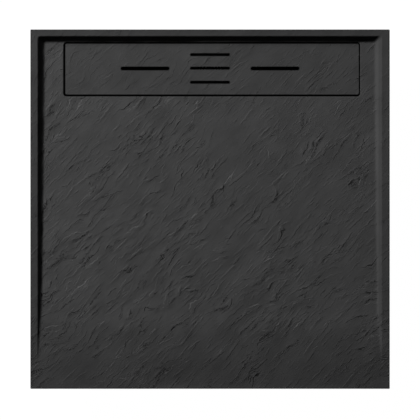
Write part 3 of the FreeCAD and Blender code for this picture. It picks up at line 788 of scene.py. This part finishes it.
def make_uneven_finish():
    """The small unevenness that any real surface has, in colour, gloss and height.

    Cloudy noise moves the brightness up and down by Spread and the roughness from least to most. Fine
    noise of the size Grain is the height.
    """
    inputs = {"Vector": "Vector", "Colour": "Color", "Spread": 0.05, "Cloud": 0.03, "Grain": 0.0005}
    inputs.update({"Least Roughness": 0.4, "Most Roughness": 0.5})
    results = {"Color": "Color", "Roughness": "Float", "Height": "Float"}
    group, given, result = new_group("uneven_finish", inputs, results)
    place, least = given["Vector"], given["Least Roughness"]
    cloud = noise(place, 1.0 / given["Cloud"], 4.0) - 0.5
    (1.0 + cloud * 4.0 * given["Spread"]).tinting(given["Colour"]).feed(result["Color"])
    wear = noise(place, 1.0 / (given["Cloud"] * 0.4), 5.0).ramp(0.3, 0.7)
    (least + wear * (given["Most Roughness"] - least)).feed(result["Roughness"])
    noise(place, 1.0 / given["Grain"], 2.0).feed(result["Height"])
    return group


uneven_finish = make_uneven_finish()


def new_finish(name, colour, spread, cloud, gloss, grain, depth, pattern=None, specular=0.5, metallic=0.0):
    """A material with the uneven finish, and a pattern of its own if it has one.

    gloss is its least and most roughness, and depth the height of its relief in metres. A pattern gives
    a tone that the colour is multiplied by and a height that is added to the relief.
    """
    material, shader = new_material(name, specular, metallic)
    tree = material.node_tree
    place = outputs(tree, "TexCoord", {})["Object"]
    inputs = {"Vector": place, "Colour": (*colour, 1), "Spread": spread, "Cloud": cloud, "Grain": grain}
    inputs.update({"Least Roughness": gloss[0], "Most Roughness": gloss[1]})
    finish = outputs(tree, "Group", inputs, node_tree=uneven_finish)
    tint, height = finish["Color"], finish["Height"]
    if pattern is not None:
        tone, relief = pattern(place)
        tint, height = tone.tinting(tint), height + relief
    tint.feed(shader["Base Color"])
    finish["Roughness"].feed(shader["Roughness"])
    height.made("Bump", {"Height": height, "Distance": depth}).feed(shader["Normal"])
    return material


def cells(place, scale):
    """The distance from the nearest of many scattered points, and the random colour of that point."""
    cell = outputs(place.tree, "TexVoronoi", {"Vector": place, "Scale": scale})
    return cell["Distance"], cell["Color"]


def chance_of(colour):
    """A random value from nothing to one, which is the red in a random colour."""
    return colour.made("SeparateColor", {0: colour})


def stone_grains(place):
    """Round grains of many greys, each the size of a sand grain, and pits where bubbles burst, painted darker
    as painted shade.
    """
    distance, colour = cells(place, 380.0)
    body = distance.ramp(0.46, 0.30)
    pit = cells(place, 95.0)[0].ramp(0.15, 0.09)
    # The pits' darker colour is painted shade.
    return (1.0 + (chance_of(colour) - 0.45) * body * 0.9) * (1.0 - pit * 0.65), body * 0.5 - pit * 4.0


def dress(nodes, material):
    """Give pieces whose modelled shape stays their finish."""
    for node in nodes:
        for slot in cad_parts[node].material_slots:
            slot.material = material


cast_colour = (0.30, 0.29, 0.275)
cast_stone = new_finish(
    "cast_stone", cast_colour, spread=0.10, cloud=0.06, gloss=(0.72, 0.88),
    grain=0.0011, depth=0.00022, pattern=stone_grains,
)
dress(["tray_core"], cast_stone)

# ------------------------------ drain cover
# A loose panel of the same slate-effect resin, 8 mm thick, that lies flush in the recess on rubber pads.
# Water runs off through its five slots and through the gap round it.


def in_mm(node):
    """The low and the high corner of a node's box, in millimetres."""
    return [np.array(corner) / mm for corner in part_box(node)]


cover_low, cover_high = in_mm("drain_cover")
cover = (cover_low[0], cover_high[0], cover_low[1], cover_high[1])  # left, right, front, back
cover_top, cover_bottom = cover_high[2], cover_low[2]
cover_corner, cover_edge = 4.5, 0.6
cover_step = 1.7
slot_edge = 0.3
slot_sizes = [(side * 163.1, 353.1, 121.5, 8.4) for side in (-1, 1)]
slot_sizes += [(0.0, y, 99.2, 6.5) for y in (318.5, 353.9, 387.8)]
slots = [  # each slot's bounds (left, right, front, back), its middle line and the radius of its ends
    ((x - length / 2, x + length / 2, y - width / 2, y + width / 2), y, width / 2)
    for x, y, length, width in slot_sizes
]


def cover_sheet(z, relief, strength):
    """One face of the cover as a grid with its slots left open, the ends of the slots rounded."""
    beside = (0.0, 0.3, cover_edge, cover_corner)
    place_x, place_y = (
        [low + d for d in beside] + [high - d for d in beside] for low, high in (cover[:2], cover[2:])
    )
    for (left, right, front, back), middle, end in slots:
        place_x += [left - slot_edge, left, left + end, right - end, right, right + slot_edge]
        place_y += [front - slot_edge, front, middle, back, back + slot_edge]
    place_x, place_y = (lines(sorted(set(np.round(place, 3))), cover_step) for place in (place_x, place_y))
    x, y = round_corners(*np.meshgrid(place_x, place_y), cover, cover_corner, cover_corner, 4.0)
    for (left, right, _, _), middle, end in slots:
        for east, arc_x in ((-1, left + end), (1, right - end)):
            x, y = round_corner(x, y, (arc_x, middle), (east, 0), end + slot_edge, 3.0)
    height = np.full(x.shape, z)
    if relief is not None:
        height += on_raster(relief, x, y) * strength - middle_sink
        height -= edge_drop(-outside_block(x, y, cover, cover_corner), cover_edge)
        for block, _, end in slots:
            height -= edge_drop(outside_block(x, y, block, end), slot_edge)
    number = np.arange(x.size).reshape(x.shape)
    keep = np.ones((len(place_y) - 1, len(place_x) - 1), bool)
    rings = [ring_of(number, 0, len(place_y) - 1, 0, len(place_x) - 1)]
    rings += [cut_out(keep, number, place_x, place_y, block) for block, _, _ in slots]
    return np.stack([x, y, height], axis=-1).reshape(-1, 3), grid_quads(number, keep), rings


def cover_strength(x, y, z):
    """How riven the cover is: less than the tray, and least on its left."""
    return 0.48 + 0.45 * np.clip((x + 50) / 250, 0, 1)


def cover_tone_and_painted_shade(x, y, z):
    """Tone and painted shade of the cover: a little darker than the tray, with the back wall's painted shadow
    along its back and painted shade at its cut edges.
    """
    # Painted shade along the cut edges of the cover and its slots, where the gap and the slots lie in shadow.
    from_edge = -outside_block(x, y, cover, cover_corner)
    for block, _, end in slots:
        from_edge = np.minimum(from_edge, outside_block(x, y, block, end))
    # Painted shadow of the back wall over the cover's last ten millimetres.
    back_wall_painted_shadow = 1 - 0.2 * np.clip((y - cover[3] + 10) / 10, 0, 1)
    return 0.93 * back_wall_painted_shadow * np.clip(0.3 + 0.5 * np.maximum(from_edge, 0), 0.3, 1)


upper, cover_quads, cover_rings = cover_sheet(cover_top, relief, 0.5)
lower, _, _ = cover_sheet(cover_bottom, None, 0.0)
walls = [ring_quads(np.stack([ring, ring + len(upper)])) for ring in cover_rings]
quads = np.concatenate([cover_quads, cover_quads[:, ::-1] + len(upper)] + walls)
no_triangles = np.empty((0, 3), int)
cover_parts = weld(np.concatenate([upper, lower]), quads, no_triangles)
slate_cover = make_piece("slate_cover", *cover_parts, sharp_angle=40)
slate_cover.data.materials.append(slate)
mark_slate(slate_cover, cover_strength, cover_tone_and_painted_shade)
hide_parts("drain_cover")
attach(slate_cover, "cover")

# ------------------------------ cover pads
# Ten small rubber pads, four along each long side of the cover and one at each end. They hold the cover
# two millimetres over the ledge, so that it neither rocks nor rattles when it is stepped on.

pads_low, pads_high = in_mm("cover_pads")
pad_length, pad_width = 20.0, 5.0
pad_columns = (-320.0, -110.0, 110.0, 330.0)


def softened(corners, cut):
    """A closed outline with its corners rounded: each is cut back both ways and bridged by a parabola."""
    corners = np.array(corners, float)
    cut = np.broadcast_to(cut, len(corners))[:, None]
    back = np.roll(corners, 1, axis=0) - corners
    ahead = np.roll(corners, -1, axis=0) - corners
    start = corners + back / np.linalg.norm(back, axis=1, keepdims=True) * cut
    end = corners + ahead / np.linalg.norm(ahead, axis=1, keepdims=True) * cut
    share = np.linspace(0, 1, 5)[None, :, None]
    curve = start[:, None] * (1 - share) ** 2 + corners[:, None] * 2 * share * (1 - share)
    curve = (curve + end[:, None] * share**2).reshape(-1, 2)
    return curve[np.linalg.norm(curve - np.roll(curve, 1, axis=0), axis=1) > 1e-6]


def slab(outline, thickness, edge):
    """A flat outline carried through a thickness, its rims rounded; rows run from one face to the other.

    Towards each face the outline shrinks, square to itself, by a quarter circle of the edge's radius.
    The first and last rows are one point in the outline's middle.
    """
    along = np.roll(outline, -1, axis=0) - np.roll(outline, 1, axis=0)
    inward = np.stack([-along[:, 1], along[:, 0]], axis=-1) / np.linalg.norm(along, axis=1, keepdims=True)
    middle = outline.mean(axis=0)
    if ((middle - outline[0]) * inward[0]).sum() < 0:
        inward = -inward
    turn = np.radians([0, 30, 60, 90])
    shrink = np.concatenate([edge * (1 - np.sin(turn)), edge * (1 - np.sin(turn[::-1]))])
    level = np.concatenate([edge * (1 - np.cos(turn)), thickness - edge * (1 - np.cos(turn[::-1]))])
    flat = outline[None] + inward[None] * shrink[:, None, None]
    flat = np.concatenate([flat[:1] * 0 + middle, flat, flat[:1] * 0 + middle])
    level = np.concatenate([[0.0], level, [thickness]])
    return np.concatenate([flat, np.broadcast_to(level[:, None, None], flat.shape[:2] + (1,))], axis=-1)


def shell(grid):
    """The points and faces of a grid whose rows and columns both close on themselves."""
    number = np.arange(grid[..., 0].size).reshape(grid.shape[:2])
    return weld(grid.reshape(-1, 3), ring_quads(np.concatenate([number, number[:1]])), no_triangles)


def joined(shells):
    """Several closed shells numbered on, as the points and faces of one mesh."""
    points, quads, triangles = zip(*shells)
    firsts = np.cumsum([0] + [len(place) for place in points])
    faces = [[face + first for face, first in zip(kind, firsts)] for kind in (quads, triangles)]
    return np.concatenate(points), np.concatenate(faces[0]), np.concatenate(faces[1])


def stand_in(piece, node, body, material):
    """Let a new piece take a node's place on its body, with its finish."""
    piece.data.materials.append(material)
    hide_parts(node)
    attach(piece, body)


def rubber_block(x, y, length, width):
    """One pad, its corners rounded and its rims soft."""
    east, north = length / 2, width / 2
    outline = softened([(-east, -north), (east, -north), (east, north), (-east, north)], 0.8)
    return shell(slab(outline, pads_high[2] - pads_low[2], 0.35) + np.array([x, y, pads_low[2]]))


pad_rows = (pads_low[1] + pad_width / 2, pads_high[1] - pad_width / 2)
pad_ends = (pads_low[0] + pad_width / 2, pads_high[0] - pad_width / 2)
pad_blocks = [rubber_block(x, y, pad_length, pad_width) for x in pad_columns for y in pad_rows]
pad_blocks += [rubber_block(x, waste_y, pad_width, pad_length) for x in pad_ends]
rubber_colour = (0.020, 0.020, 0.021)
black_rubber = new_finish(
    "black_rubber", rubber_colour, spread=0.25, cloud=0.008, gloss=(0.62, 0.80),
    grain=0.0004, depth=0.00006, specular=0.3,
)
rubber_pads = make_piece("rubber_pads", *joined(pad_blocks), sharp_angle=40)
stand_in(rubber_pads, "cover_pads", "cover", black_rubber)

# ------------------------------ waste flange
# A ring moulded in black plastic, screwed down over the waste hole flush with the channel floor. Three
# countersunk screws of stainless steel pull the trap up against the tray; rubber rings seal both sides.

screws_low, screws_high = in_mm("flange_screws")
screw_circle = 40.5
screw_turns = np.radians([-90.0, 30.0, 150.0])
screw_head, screw_shank, screw_head_depth = 4.4, 2.5, 1.9


def cross_screw(outline, arm, reach, depth):
    """A screw turned from (radius, height) pairs, from its head's middle out and down to its tip.

    Columns of points follow the edges of a cross of the given half width; inside it, out to its reach,
    the head's top is sunk by the depth. The grid is 32 points round.
    """
    radius, height = np.array(outline).T
    edge = np.arcsin(np.minimum(arm / np.maximum(radius, 1e-6), math.sin(math.radians(40))))[:, None]
    off_arm = np.array([0.0, 0.94, 1.06, 1.0, 1.0])[None] * edge
    off_arm = off_arm + np.array([0.0, 0.0, 0.0, 0.5, 1.0])[None] * (math.pi / 4 - edge)
    quadrant = np.concatenate([off_arm, math.pi / 2 - off_arm[:, 3:0:-1]], axis=1)
    turn = np.concatenate([quadrant + quarter * math.pi / 2 for quarter in range(4)], axis=1)
    in_cross = np.tile([True, True, False, False, False, False, False, True], 4)[None]
    in_cross = in_cross | (radius[:, None] < 1.2 * arm)
    on_top = np.arange(len(radius)) < np.argmax(radius)
    sink = depth * np.clip((reach - radius) / 0.35, 0, 1) * (1 - 0.35 * radius / reach) * on_top
    z = height[:, None] - sink[:, None] * in_cross
    return polar(radius[:, None], turn, z)


def shifted(grid, x, y, z, turn=0.0):
    """A grid turned about its upright axis and moved to a place."""
    east = grid[..., 0] * math.cos(turn) - grid[..., 1] * math.sin(turn)
    north = grid[..., 0] * math.sin(turn) + grid[..., 1] * math.cos(turn)
    return np.stack([east + x, north + y, grid[..., 2] + z], axis=-1)


def screws_round(grid, centre, circle, z, turns, spins):
    """Screws spaced round a circle, each spun to where its driver stopped."""
    places = [(centre[0] + circle * math.cos(turn), centre[1] + circle * math.sin(turn)) for turn in turns]
    return [shell(shifted(grid, *place, z, spin)) for place, spin in zip(places, spins)]


screw_length = screws_high[2] - screws_low[2]
countersunk = [(r, 0.0) for r in (0.0, 0.35, 0.7, 1.1, 1.5, 1.9, 2.3, 2.65, 3.0, 3.6, 4.2)]
countersunk += [(screw_head, -0.15), (screw_head, -0.3), (screw_shank, -screw_head_depth)]
countersunk += [(screw_shank, 1.0 - screw_length), (screw_shank - 0.8, -screw_length), (0.0, -screw_length)]
screw_grid = cross_screw(countersunk, 0.55, 2.65, 1.5)
screw_spins, waste = screw_turns * 3.7, (0.0, waste_y)
screw_shells = screws_round(screw_grid, waste, screw_circle, screws_high[2], screw_turns, screw_spins)


def turning_marks(place):
    """Fine parallel marks of a turning tool, as noise drawn out along one direction."""
    marks = noise(place.vector("MULTIPLY", (9000.0, 900.0, 2500.0)), 1.0, 3.0)
    return marks.ramp(0.3, 0.7, 0.9, 1.06), marks


steel_colour = (0.50, 0.50, 0.49)
stainless = new_finish(
    "stainless_steel", steel_colour, spread=0.08, cloud=0.004, gloss=(0.28, 0.42),
    grain=0.0002, depth=0.00002, pattern=turning_marks, metallic=1.0,
)
countersunk_screws = make_piece("countersunk_screws", *joined(screw_shells), sharp_angle=35)
stand_in(countersunk_screws, "flange_screws", "tray", stainless)


def spark_texture(place):
    """The rounded pits of a spark-worn mould, each a fraction of a millimetre wide."""
    inputs = {"Vector": place, "Scale": 1500.0, "Smoothness": 0.6}
    pits = outputs(place.tree, "TexVoronoi", inputs, feature="SMOOTH_F1")["Distance"]
    return pits.ramp(0.0, 0.8, 0.94, 1.05), pits


moulding_colour = (0.016, 0.016, 0.017)
black_moulding = new_finish(
    "black_moulding", moulding_colour, spread=0.12, cloud=0.02, gloss=(0.50, 0.62),
    grain=0.0006, depth=0.00006, pattern=spark_texture, specular=0.04,
)
dress(["waste_flange"], black_moulding)
dress(["upper_gasket", "lower_gasket"], black_rubber)

# ------------------------------ trap
# A low trap of white polypropylene, its plate, bowl and outlet socket welded together. A grey dip tube
# hangs in it by its lip, its foot in the water; it and the strainer over it lift out for cleaning.


def flow_marks(place):
    """Faint upright bands where the molten plastic ran down the mould, and the mould's fine grain."""
    bands = noise(place.vector("MULTIPLY", (160.0, 160.0, 22.0)), 1.0, 3.0)
    return bands.ramp(0.3, 0.7, 0.965, 1.02), bands * 2.0


white, grey = (0.76, 0.76, 0.735), (0.175, 0.185, 0.195)
white_moulding = new_finish(
    "white_moulding", white, spread=0.02, cloud=0.05, gloss=(0.33, 0.44),
    grain=0.0008, depth=0.00005, pattern=flow_marks, specular=0.45,
)
grey_moulding = new_finish(
    "grey_moulding", grey, spread=0.05, cloud=0.03, gloss=(0.36, 0.50),
    grain=0.0007, depth=0.00005, pattern=flow_marks, specular=0.45,
)
dress(["trap_top", "trap_bowl", "outlet_socket", "outlet_spigot"], white_moulding)
dress(["dip_tube"], grey_moulding)
dress(["dip_tube_seal", "outlet_seal"], black_rubber)
dress(["hair_strainer"], black_moulding)

# ------------------------------ outlet joint
# The outlet's spigot ends in a ball, which a union nut presses against the socket and its rubber ring,
# so that the waste pipe can swing a little. The nut's ten grooves are there for the fitter's grip.

nut_low, nut_high = in_mm("outlet_nut")
outlet_z, nut_radius = (nut_low[2] + nut_high[2]) / 2, (nut_high[2] - nut_low[2]) / 2
nut_back, nut_front = nut_low[0], nut_high[0]
ball_x, ball_seat = 84.0, 25.05
thread_radius, mouth_radius = 29.5, 24.6
shoulder_x, grip_x = 87.0, 94.0
groove_count, groove_radius = 10, 2.6


def union_nut():
    """The nut as an outline of (along, radius) pairs carried round the outlet's level axis.

    Where the outline is near its outer radius, it is sunk by circular grooves along the nut, deepest at
    the groove's middle and nothing a groove's radius away from it.
    """
    bowl_ends = [math.acos((x - ball_x) / ball_seat) for x in (grip_x, shoulder_x)]
    bowl = [(ball_x + ball_seat * math.cos(t), ball_seat * math.sin(t)) for t in np.linspace(*bowl_ends, 5)]
    outer = [(nut_back, thread_radius + 0.6), (nut_back, nut_radius - 1.2), (nut_back + 1.2, nut_radius)]
    outer += [(x, nut_radius) for x in (nut_back + 4, nut_back + 9, nut_front - 9, nut_front - 4)]
    outer += [(nut_front - 2.0, nut_radius), (nut_front - 0.5, nut_radius - 0.6)]
    outer += [(nut_front, nut_radius - 2.0), (nut_front, mouth_radius + 0.5), (nut_front - 0.5, mouth_radius)]
    inner = [(shoulder_x, thread_radius), (nut_back + 0.6, thread_radius)]
    along, radius = np.array(outer + bowl + inner).T
    period = 2 * math.pi / groove_count
    sides = np.array([0.0, 0.35, 0.7, 0.9, 1.0, 1.08, 1.6, 2.6]) * groove_radius / nut_radius
    turn = np.concatenate([sides, [period / 2], period - sides[:0:-1]])
    turn = np.concatenate([turn + step * period for step in range(groove_count)])
    from_middle = np.abs((turn + period / 2) % period - period / 2) * nut_radius
    groove = np.sqrt(np.maximum(groove_radius**2 - from_middle**2, 0))
    sunk = np.minimum(radius[:, None], nut_radius - groove[None])
    reach = np.where(radius[:, None] > nut_radius - groove_radius - 0.2, sunk, radius[:, None])
    return polar(reach, turn, along[:, None])[..., [2, 0, 1]] + np.array([0.0, waste_y, outlet_z])


grooved_nut = make_piece("union_nut", *shell(union_nut()), sharp_angle=35)
stand_in(grooved_nut, "outlet_nut", "tray", grey_moulding)

# ------------------------------ feet
# Five feet carry the tray over the floor. Each has a socket moulded in black plastic and screwed to the
# core, a threaded rod of zinc-plated steel with its lock nut, and a foot plate that stands on a rubber sole.

foot_names = ("back_left", "back_right", "front_left", "front_right", "middle")
foot_places = {}
for name in foot_names:
    rod_low, rod_high = in_mm("foot_rod_" + name)
    foot_places[name] = tuple((rod_low + rod_high)[:2] / 2)
rod_radius, rod_foot, rod_head = (rod_high[0] - rod_low[0]) / 2, rod_low[2], rod_high[2]
under_z, socket_foot = tray_low.z / mm, in_mm("foot_sockets")[0][2]
socket_radius, socket_plate, boss_radius, bore_radius = 30.0, 4.0, 15.0, 6.05
gusset_reach, gusset_height, gusset_width = 11.0, 22.0, 3.0
gusset_turns = np.radians([60.0, 180.0, 300.0])


def turned(outline, count):
    """An outline of (radius, height) pairs carried round the upright axis."""
    radius, height = np.array(outline).T[..., None]
    return polar(radius, np.arange(count) * 2 * math.pi / count, height)


def socket_shells(place):
    """A leg socket: plate and boss turned as one, and three gussets that run into both."""
    plate_foot = under_z - socket_plate
    corners = [(bore_radius, socket_foot), (boss_radius, socket_foot), (boss_radius, plate_foot)]
    corners += [(socket_radius, plate_foot), (socket_radius, under_z), (bore_radius, under_z)]
    outline = softened(corners, (0.4, 0.8, 1.5, 0.8, 0.15, 0.1))
    shells = [shell(shifted(turned(outline, 72), *place, 0.0))]
    inside, tip = boss_radius - 1.0, boss_radius + gusset_reach
    corners = [(inside, plate_foot + 0.5), (tip, plate_foot + 0.5), (tip - 1.0, plate_foot - 1.5)]
    corners += [(inside, plate_foot - gusset_height)]
    wedge = slab(softened(corners, 0.3), gusset_width, 0.4)
    wedge = np.stack([wedge[..., 0], wedge[..., 2] - gusset_width / 2, wedge[..., 1]], axis=-1)
    return shells + [shell(shifted(wedge, *place, 0.0, turn)) for turn in gusset_turns]


leg_colour = (0.024, 0.024, 0.026)
leg_moulding = new_finish(
    "leg_moulding", leg_colour, spread=0.15, cloud=0.02, gloss=(0.38, 0.52),
    grain=0.0006, depth=0.00007, pattern=spark_texture, specular=0.4,
)
leg_shells = [made for place in foot_places.values() for made in socket_shells(place)]
leg_sockets = make_piece("leg_sockets", *joined(leg_shells), sharp_angle=35)
stand_in(leg_sockets, "foot_sockets", "tray", leg_moulding)


def zinc_spangle(place):
    """Cloudy plating: patches of brighter and duller zinc a few millimetres wide, with fine scratches."""
    patch = chance_of(cells(place, 260.0)[1])
    scratches = noise(place.vector("MULTIPLY", (600.0, 3800.0, 600.0)), 1.0, 2.0)
    return patch.ramp(0.0, 1.0, 0.93, 1.04), scratches


zinc_colour = (0.47, 0.50, 0.54)
zinc = new_finish(
    "zinc_plating", zinc_colour, spread=0.10, cloud=0.006, gloss=(0.26, 0.40),
    grain=0.0003, depth=0.00002, pattern=zinc_spangle, metallic=1.0,
)

pan_radius, pan_height, pan_shank = 4.0, 2.4, 2.1
pan_circle, pan_bite = 23.5, 12.0
pan_rings = (0.0, 0.35, 0.7, 1.0, 1.35, 1.7, 2.0, 2.3, 2.8, 3.3)
pan_outline = [(r, -0.55 * (r / pan_radius) ** 2) for r in pan_rings]
pan_outline += [(3.75, -0.85), (3.95, -1.25), (pan_radius, -1.7), (pan_radius, -pan_height)]
pan_tip = -pan_height - socket_plate - pan_bite
pan_outline += [(pan_shank, -pan_height), (pan_shank, pan_tip + 1.0), (0.8, pan_tip), (0.0, pan_tip)]
pan_grid = cross_screw(pan_outline, 0.48, 2.3, 1.3) * np.array([1, 1, -1])
pan_turns, pan_z = np.radians([0.0, 120.0, 240.0]), under_z - socket_plate - pan_height
pan_shells = []
for number, place in enumerate(foot_places.values()):
    pan_shells += screws_round(pan_grid, place, pan_circle, pan_z, pan_turns, 1.7 * number + pan_turns)
pan_screws = make_piece("pan_screws", *joined(pan_shells), sharp_angle=35)
stand_in(pan_screws, "socket_screws", "tray", zinc)

lock_nut_flats, lock_nut_height = 19.0, 8.0


def hex_reach(turn, flats, corner_share):
    """Distance from a hexagon's middle to its outline at each turn, with its corners cut back a little."""
    from_flat = (turn + math.pi / 6) % (math.pi / 3) - math.pi / 6
    across = flats / 2 / np.cos(from_flat)
    return np.minimum(across, corner_share * flats / math.sqrt(3))


def hex_nut():
    """A hexagonal nut: flat faces whose corners a cone of 30 degrees has turned off, above and below.

    Rows run from the bore's foot out, up the flats and back into the bore; the flats' ends drop by the
    distance outside the inscribed circle times the cone's slope.
    """
    turn = np.arange(72) * math.pi / 36 + math.pi / 6
    corner = hex_reach(turn, lock_nut_flats, 0.985)
    face = lock_nut_flats / 2 * 0.97
    drop = np.maximum(corner - face, 0) * math.tan(math.radians(30))
    low, high = socket_foot - lock_nut_height, socket_foot
    rows = [(bore_radius, low + 0.6), (bore_radius + 0.6, low), (face, low), (corner, low + drop)]
    rows += [(corner, high - drop), (face, high), (bore_radius + 0.6, high), (bore_radius, high - 0.6)]
    return np.stack([polar(reach, turn, height) for reach, height in rows])


nut_shells = [
    shell(shifted(hex_nut(), *place, 0.0, 0.3 * number)) for number, place in enumerate(foot_places.values())
]
hex_nuts = make_piece("hex_nuts", *joined(nut_shells), sharp_angle=30)
stand_in(hex_nuts, "foot_lock_nuts", "tray", zinc)

thread_pitch, thread_depth = 1.75, 0.95
thread_rows, thread_columns = 8, 24


def threaded_rod():
    """A rod whose radius falls into a groove once a pitch; the groove climbs one pitch in each turn.

    Over one pitch the radius stays at the crest, falls evenly to the root, stays, and rises again.
    """
    steps = round((rod_head - rod_foot) / thread_pitch * thread_rows)
    z = np.linspace(rod_foot, rod_head, steps + 1)[:, None]
    turn = np.arange(thread_columns) * 2 * math.pi / thread_columns
    phase = (z / thread_pitch - turn / (2 * math.pi)) % 1
    groove = np.clip((1 - np.abs(2 * phase - 1) - 0.15) / 0.65, 0, 1)
    reach = rod_radius - 0.02 - thread_depth * groove
    rod = polar(reach, turn, z)
    ends = rod[[0, -1]] * np.array([0, 0, 1])
    return np.concatenate([ends[:1], rod, ends[1:]])


rod_shell_grid = threaded_rod()
plate_low, plate_high = in_mm("foot_pad_middle")
plate_radius = (plate_high[0] - plate_low[0]) / 2
plate_foot, plate_top = plate_low[2], plate_high[2]
plate_edge, neck_foot, neck_radius, neck_flats = 7.0, 15.0, 12.5, 17.0
rib_count, rib_depth = 12, 0.9


def foot_plate():
    """The foot: a round plate that rises as a ribbed cone to a hexagonal neck with a bore for the rod.

    Each row has a radius, a height, how much of the hexagon it takes on and how deep the hollows between
    the cone's ribs are. The hollows are a raised cosine of the turn, taken to its square root.
    """
    rows = [(0.0, plate_foot, 0, 0), (plate_radius - 0.6, plate_foot, 0, 0)]
    rows += [(plate_radius, plate_foot + 0.6, 0, 0), (plate_radius, plate_edge - 1.0, 0, 0)]
    rows += [(plate_radius - 0.3, plate_edge - 0.3, 0, 0), (plate_radius - 1.0, plate_edge, 0, 0)]
    for share in np.linspace(0.1, 0.96, 9):
        radius = plate_radius + (neck_radius - plate_radius) * share
        height = plate_edge + (neck_foot - plate_edge) * share
        rows.append((radius, height, 0, rib_depth * min(1, 8 * (share - 0.1), 8 * (0.96 - share))))
    rows += [(neck_radius - 0.3, neck_foot, 0.3, 0), (neck_flats / 2 + 1.0, neck_foot + 0.15, 0.8, 0)]
    rows += [(neck_flats / 2, neck_foot + 0.8, 1, 0), (neck_flats / 2, plate_top - 0.6, 1, 0)]
    rows += [(neck_flats / 2 - 0.2, plate_top - 0.2, 1, 0), (neck_flats / 2 - 0.7, plate_top, 1, 0)]
    rows += [(rod_radius + 0.5, plate_top, 0, 0), (rod_radius, plate_top - 0.5, 0, 0)]
    rows += [(rod_radius, rod_foot, 0, 0), (0.0, rod_foot, 0, 0)]
    radius, height, hexed, hollow = (np.array(column)[:, None] for column in zip(*rows))
    turn = np.arange(144)[None] * math.pi / 72
    corners = hex_reach(turn, neck_flats, 0.97) / (neck_flats / 2)
    ribs = np.sqrt(0.5 - 0.5 * np.cos(rib_count * turn))
    return polar(radius * (1 + hexed * (corners - 1)), turn, height - hollow * ribs)


plate_grid = foot_plate()
sole_low, sole_high = in_mm("foot_rubber_middle")
sole_radius, sole_top = (sole_high[0] - sole_low[0]) / 2, sole_high[2]
sole_outline = [(0.0, 0.0), (3.6, 0.0)]
for ring in np.arange(4.0, 20.0, 3.0):
    sole_outline += [(ring, 0.5), (ring + 1.0, 0.5), (ring + 1.4, 0.0), (ring + 2.6, 0.0)]
sole_outline += [(sole_radius - 0.4, 0.0), (sole_radius, 0.4), (sole_radius, sole_top), (0.0, sole_top)]
sole_grid = turned(sole_outline, 96)

foot_parts = (
    # new piece, CAD node, grid, sharp angle, slot, finish
    ("threaded_rod_", "foot_rod_", rod_shell_grid, 50, "zinc_steel", zinc),
    ("foot_plate_", "foot_pad_", plate_grid, 30, "black_plastic", leg_moulding),
    ("ribbed_sole_", "foot_rubber_", sole_grid, 35, "rubber", black_rubber),
)
for name, place in foot_places.items():
    for piece, node, grid, sharp_angle, slot, finish in foot_parts:
        made = make_piece(piece + name, *shell(shifted(grid, *place, 0.0)), sharp_angle)
        stand_in(made, node + name, "foot_" + name, finish)

# ------------------------------ floor and lighting
# A pale studio floor, which the camera sees as plain white but which keeps the tray's shadow, and one
# soft round lamp behind and to the left, as in the photograph, where the right-hand wall catches it.

floor_reach, floor_drop = 6.0, 0.5 * mm
corners = [(x * floor_reach, y * floor_reach, -floor_drop) for x, y in ((-1, -1), (1, -1), (1, 1), (-1, 1))]
floor_data = bpy.data.meshes.new("floor")
floor_data.from_pydata(corners, [], [(0, 1, 2, 3)])
floor = bpy.data.objects.new("floor", floor_data)
bpy.context.scene.collection.objects.link(floor)


def bare_tree(holder):
    """The node tree of a material or a world, emptied."""
    holder.use_nodes = True
    holder.node_tree.nodes.clear()
    return holder.node_tree


def looked_at(tree):
    """One where the camera, a shiny surface or glass looks, and nothing where light is gathered."""
    path = outputs(tree, "LightPath", {})
    eye = path["Is Camera Ray"].math("MAXIMUM", path["Is Glossy Ray"])
    return eye.math("MAXIMUM", path["Is Transmission Ray"])


glow_share, glow_strength, fill_light = 0.96, 1.04, 0.0056
floor_material = bpy.data.materials.new("pale_floor")
tree = bare_tree(floor_material)
diffuse = outputs(tree, "BsdfDiffuse", {"Color": (0.8, 0.8, 0.8, 1)})["BSDF"]
glow = outputs(tree, "Emission", {"Strength": glow_strength})["Emission"]
mixed = outputs(tree, "MixShader", {0: looked_at(tree) * glow_share, 1: diffuse, 2: glow})["Shader"]
add_node(tree, "OutputMaterial", {"Surface": mixed})
floor_data.materials.append(floor_material)

world = bpy.data.worlds.new("studio")
bpy.context.scene.world = world
tree = bare_tree(world)
inputs = {"Value": looked_at(tree), "To Min": fill_light, "To Max": 1.0}
strength = outputs(tree, "MapRange", inputs)["Result"]
sky = outputs(tree, "Background", {"Color": (1, 1, 1, 1), "Strength": strength})["Background"]
add_node(tree, "OutputWorld", {"Surface": sky})

key_data = bpy.data.lights.new("key", "AREA")
key_data.shape = "DISK"
key_data.size = 1.0
key_data.energy = 558.0
key = bpy.data.objects.new("key", key_data)
key.location = (-3.4, 3.2, 2.95)
aim = tray_high * 0 - key.location
key.rotation_mode = "QUATERNION"
key.rotation_quaternion = aim.to_track_quat("-Z", "Y")
bpy.context.scene.collection.objects.link(key)

bpy.context.scene.view_settings.view_transform = "Standard"
